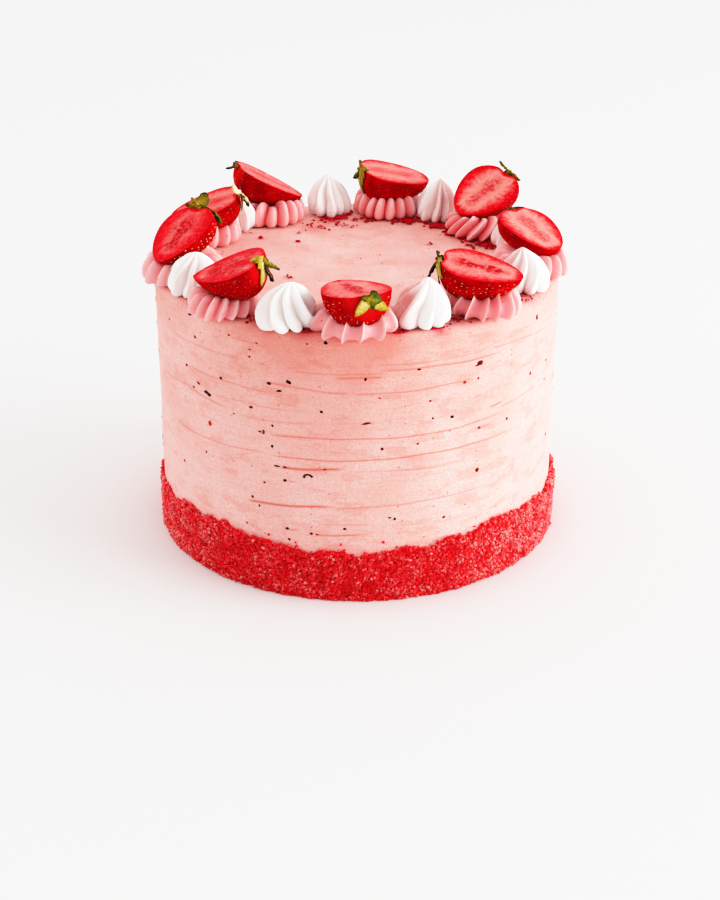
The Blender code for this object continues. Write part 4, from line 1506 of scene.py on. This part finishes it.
# Bits gathered along a kiss's foot, from one azimuth to another as seen from its centre, how
# many there are and how large, in millimetres.
FootDust = namedtuple("FootDust", "kiss start end count size")
FOOT_DUST = table(
    FootDust,
    (2, -175, -110, 34, 1.3), (2, -110, -5, 60, 1.1), (3, 165, 250, 26, 1.2),
    (3, -70, -10, 12, 1.0), (4, 195, 260, 20, 1.2), (6, 170, 290, 50, 2.2), (7, -100, 20, 50, 2.2),
    (1, -60, 0, 10, 1.0),
)


def foot_dust(rng):
    """Places in plan and sizes of the bits along the kisses' feet, in millimetres."""
    plan, size = [], []
    for dust in FOOT_DUST:
        centre, foot_radius = foot_circle(f"meringue_{dust.kiss}")
        angle = np.radians(rng.uniform(dust.start, dust.end, dust.count))
        foot = (centre + around(angle, foot_radius)) / MM
        plan.append(foot + around(angle, 1) * rng.exponential(DUST_REACH, (dust.count, 1)))
        size.append(dust.size * rng.uniform(0.4, 1.0, dust.count))
    return plan, size


def red_flecks(material):
    """All the red bits on the top: along kisses' feet, in clusters, and single ones."""
    rng = np.random.default_rng(71)
    plan, size = foot_dust(rng)
    for cluster in CLUSTERS:
        plan.append(rng.normal((cluster.x, cluster.y), cluster.spread, (cluster.count, 2)))
        size.append(cluster.size * rng.uniform(0.3, 1.0, cluster.count))
    reach = LOOSE_REACH * np.sqrt(rng.random(LOOSE_FLECKS))
    plan.append(around(rng.uniform(0, math.tau, LOOSE_FLECKS), reach))
    size.append(rng.uniform(0.3, 0.7, LOOSE_FLECKS))
    plan, size = np.vstack(plan), np.concatenate(size)
    reach = np.linalg.norm(plan, axis=1)
    plan *= np.minimum(1, FLECK_LIMIT / reach)[:, None]
    count = len(size)
    tall = np.minimum(0.7 * size, FLECK_TALLEST)
    heap = rng.uniform(0, FLECK_HEAP, count) * (np.arange(count) < count - LOOSE_FLECKS)
    centres = np.column_stack([plan, CAKE_TOP / MM + 0.25 * tall + heap]) * MM
    spin = upright(rng.uniform(0, math.tau, count), 1, 0)
    frames = frames_facing(np.tile((0.0, 0.0, 1.0), (count, 1)), spin)
    sizes = np.column_stack([size * rng.uniform(0.9, 1.3, count), size, tall]) * MM / 2
    points, faces = scatter(ball(1), centres, frames, sizes, 0.3, rng)
    piece = make_piece("red_flecks", points, faces, material)
    paint(piece, "tone", np.repeat(rng.random(count), len(points) // count))


# ---------------------------------------------------------------- the stage

CAMERA_PLACE = (1.46 * MM, -658.5 * MM, 340.9 * MM)
CAMERA_PITCH = 64.45              # degrees up from straight down
CAMERA_LENS = 66.37               # millimetres, with the sensor's long side upright
SENSOR = 36.0
FLOOR_SIZE = 8.0
WORLD_LIGHT = 1.40
WORLD_FRONT = 0.45                # the room behind the camera, part of the world's light
WORLD_SIDES = 0.46                # what the left and the right add to it
WORLD_SHINE = 0.55                # what glossy surfaces mirror, part of the world's light
WINDOW_PLACE = (1.75, -0.45, 0.50)
WINDOW_SIZE = (1.4, 0.9)
WINDOW_POWER = 33.0
WINDOW_COLOR = (0.97, 0.99, 1.0)
WINDOW_AIM = 0.6                  # the height it is turned to, part of the cake's
# The film's tone curve: light in the scene and how bright it is shown.
FILM_WHITE = 2.0
FILM_CURVE = ((0.0, 0.0), (0.05, 0.028), (0.2, 0.165), (0.5, 0.48), (0.8, 0.75), (1.0, 0.87),
              (1.3, 0.95), (1.6, 0.985), (2.0, 1.0))


def camera():
    """The photo's camera, fitted to the cake's rim, sides and foot."""
    data = bpy.data.cameras.new("camera")
    data.lens = CAMERA_LENS
    data.sensor_width = SENSOR
    seen = bpy.data.objects.new("camera", data)
    seen.location = CAMERA_PLACE
    seen.rotation_euler = (math.radians(CAMERA_PITCH), 0, 0)
    bpy.context.scene.collection.objects.link(seen)
    bpy.context.scene.camera = seen


def floor():
    """A wide floor under the cake, for the render only."""
    half = FLOOR_SIZE / 2
    mesh = bpy.data.meshes.new("floor")
    corners = [(-half, -half, 0), (half, -half, 0), (half, half, 0), (-half, half, 0)]
    mesh.from_pydata(corners, [], [(0, 1, 2, 3)])
    mesh.materials.append(floor_material())
    plane = bpy.data.objects.new("floor", mesh)
    bpy.context.scene.collection.objects.link(plane)


def world():
    """White light from all round, weaker from the front, of which shine mirrors only a part."""
    made = bpy.data.worlds.new("studio")
    bpy.context.scene.world = made
    made.use_nodes = True
    nodes = Nodes(made.node_tree)
    direction = nodes.add("SeparateXYZ", {0: nodes.add("TexCoord").outputs["Generated"]}).outputs
    fade = nodes.span(direction["Y"], -0.95, -0.05, WORLD_FRONT * WORLD_LIGHT, WORLD_LIGHT)
    across = nodes.math("MULTIPLY", direction["X"], direction["X"])
    total = nodes.math("ADD", nodes.math("MULTIPLY", across, WORLD_SIDES), fade)
    mirrored = nodes.add("LightPath").outputs["Is Glossy Ray"]
    strength = nodes.math("MULTIPLY", total, nodes.span(mirrored, 0.0, 1.0, 1.0, WORLD_SHINE))
    background = made.node_tree.nodes["Background"].inputs
    nodes.feed(background["Strength"], strength)
    nodes.feed(background["Color"], (1, 1, 1, 1))


def film():
    """Shows deep tones deeper and lets the brightest ones fade softly into white."""
    view = bpy.context.scene.view_settings
    view.view_transform = "Standard"
    view.use_curve_mapping = True
    mapping = view.curve_mapping
    mapping.white_level = (FILM_WHITE,) * 3
    curve = mapping.curves[3]
    for light, shown in FILM_CURVE[1:-1]:
        curve.points.new(light / FILM_WHITE, shown)
    mapping.update()


def window():
    """The large soft light on the right."""
    data = bpy.data.lights.new("window", "AREA")
    data.shape = "RECTANGLE"
    data.size, data.size_y = WINDOW_SIZE
    data.energy = WINDOW_POWER
    data.color = WINDOW_COLOR
    light = bpy.data.objects.new("window", data)
    light.location = WINDOW_PLACE
    towards = Vector((0, 0, CAKE_TOP * WINDOW_AIM)) - Vector(WINDOW_PLACE)
    light.rotation_euler = towards.to_track_quat("-Z", "Y").to_euler()
    bpy.context.scene.collection.objects.link(light)


def stage():
    """Camera, floor, lights and film, none of which belongs to the part."""
    camera()
    floor()
    world()
    window()
    film()


# ---------------------------------------------------------------- the whole

def berries():
    """The halves, their seeds and leaves. Returns the halves' surfaces."""
    poses = [berry_pose(number) for number in range(1, TOPPINGS + 1)]
    skin, flesh, leaf = skin_material(), flesh_material(), leaf_material()
    trees, places = [], []
    for number, pose in enumerate(poses, start=1):
        piece, seeds = berry_half(number, pose, skin, flesh)
        places.append(seeds)
        mesh = piece.data
        faces = [polygon.vertices[:] for polygon in mesh.polygons]
        trees.append(BVHTree.FromPolygons([vertex.co[:] for vertex in mesh.vertices], faces))
        leaf_crown(number, pose, leaf)
    berry_seeds(poses, places, seed_material())
    return trees


def toppings():
    """Berries first, because a rosette is pressed flat by the berry that lies on it."""
    trees = berries()
    kisses = [kiss_size(number) for number in range(1, TOPPINGS + 1)]
    cream, white = piped_material(), meringue_material()
    for number, tree in enumerate(trees, start=1):
        rosette(number, tree, kisses, cream)
        kiss(number, white)
    red_flecks(speck_material("red_flecks", srgb(150, 2, 16), srgb(222, 20, 44), 0.7))


stage()
frosted_cake(buttercream_material())
dark_specks(speck_material("dark_specks", srgb(26, 6, 10), srgb(206, 40, 40), 0.6))
crumb_band(crumb_material())
toppings()
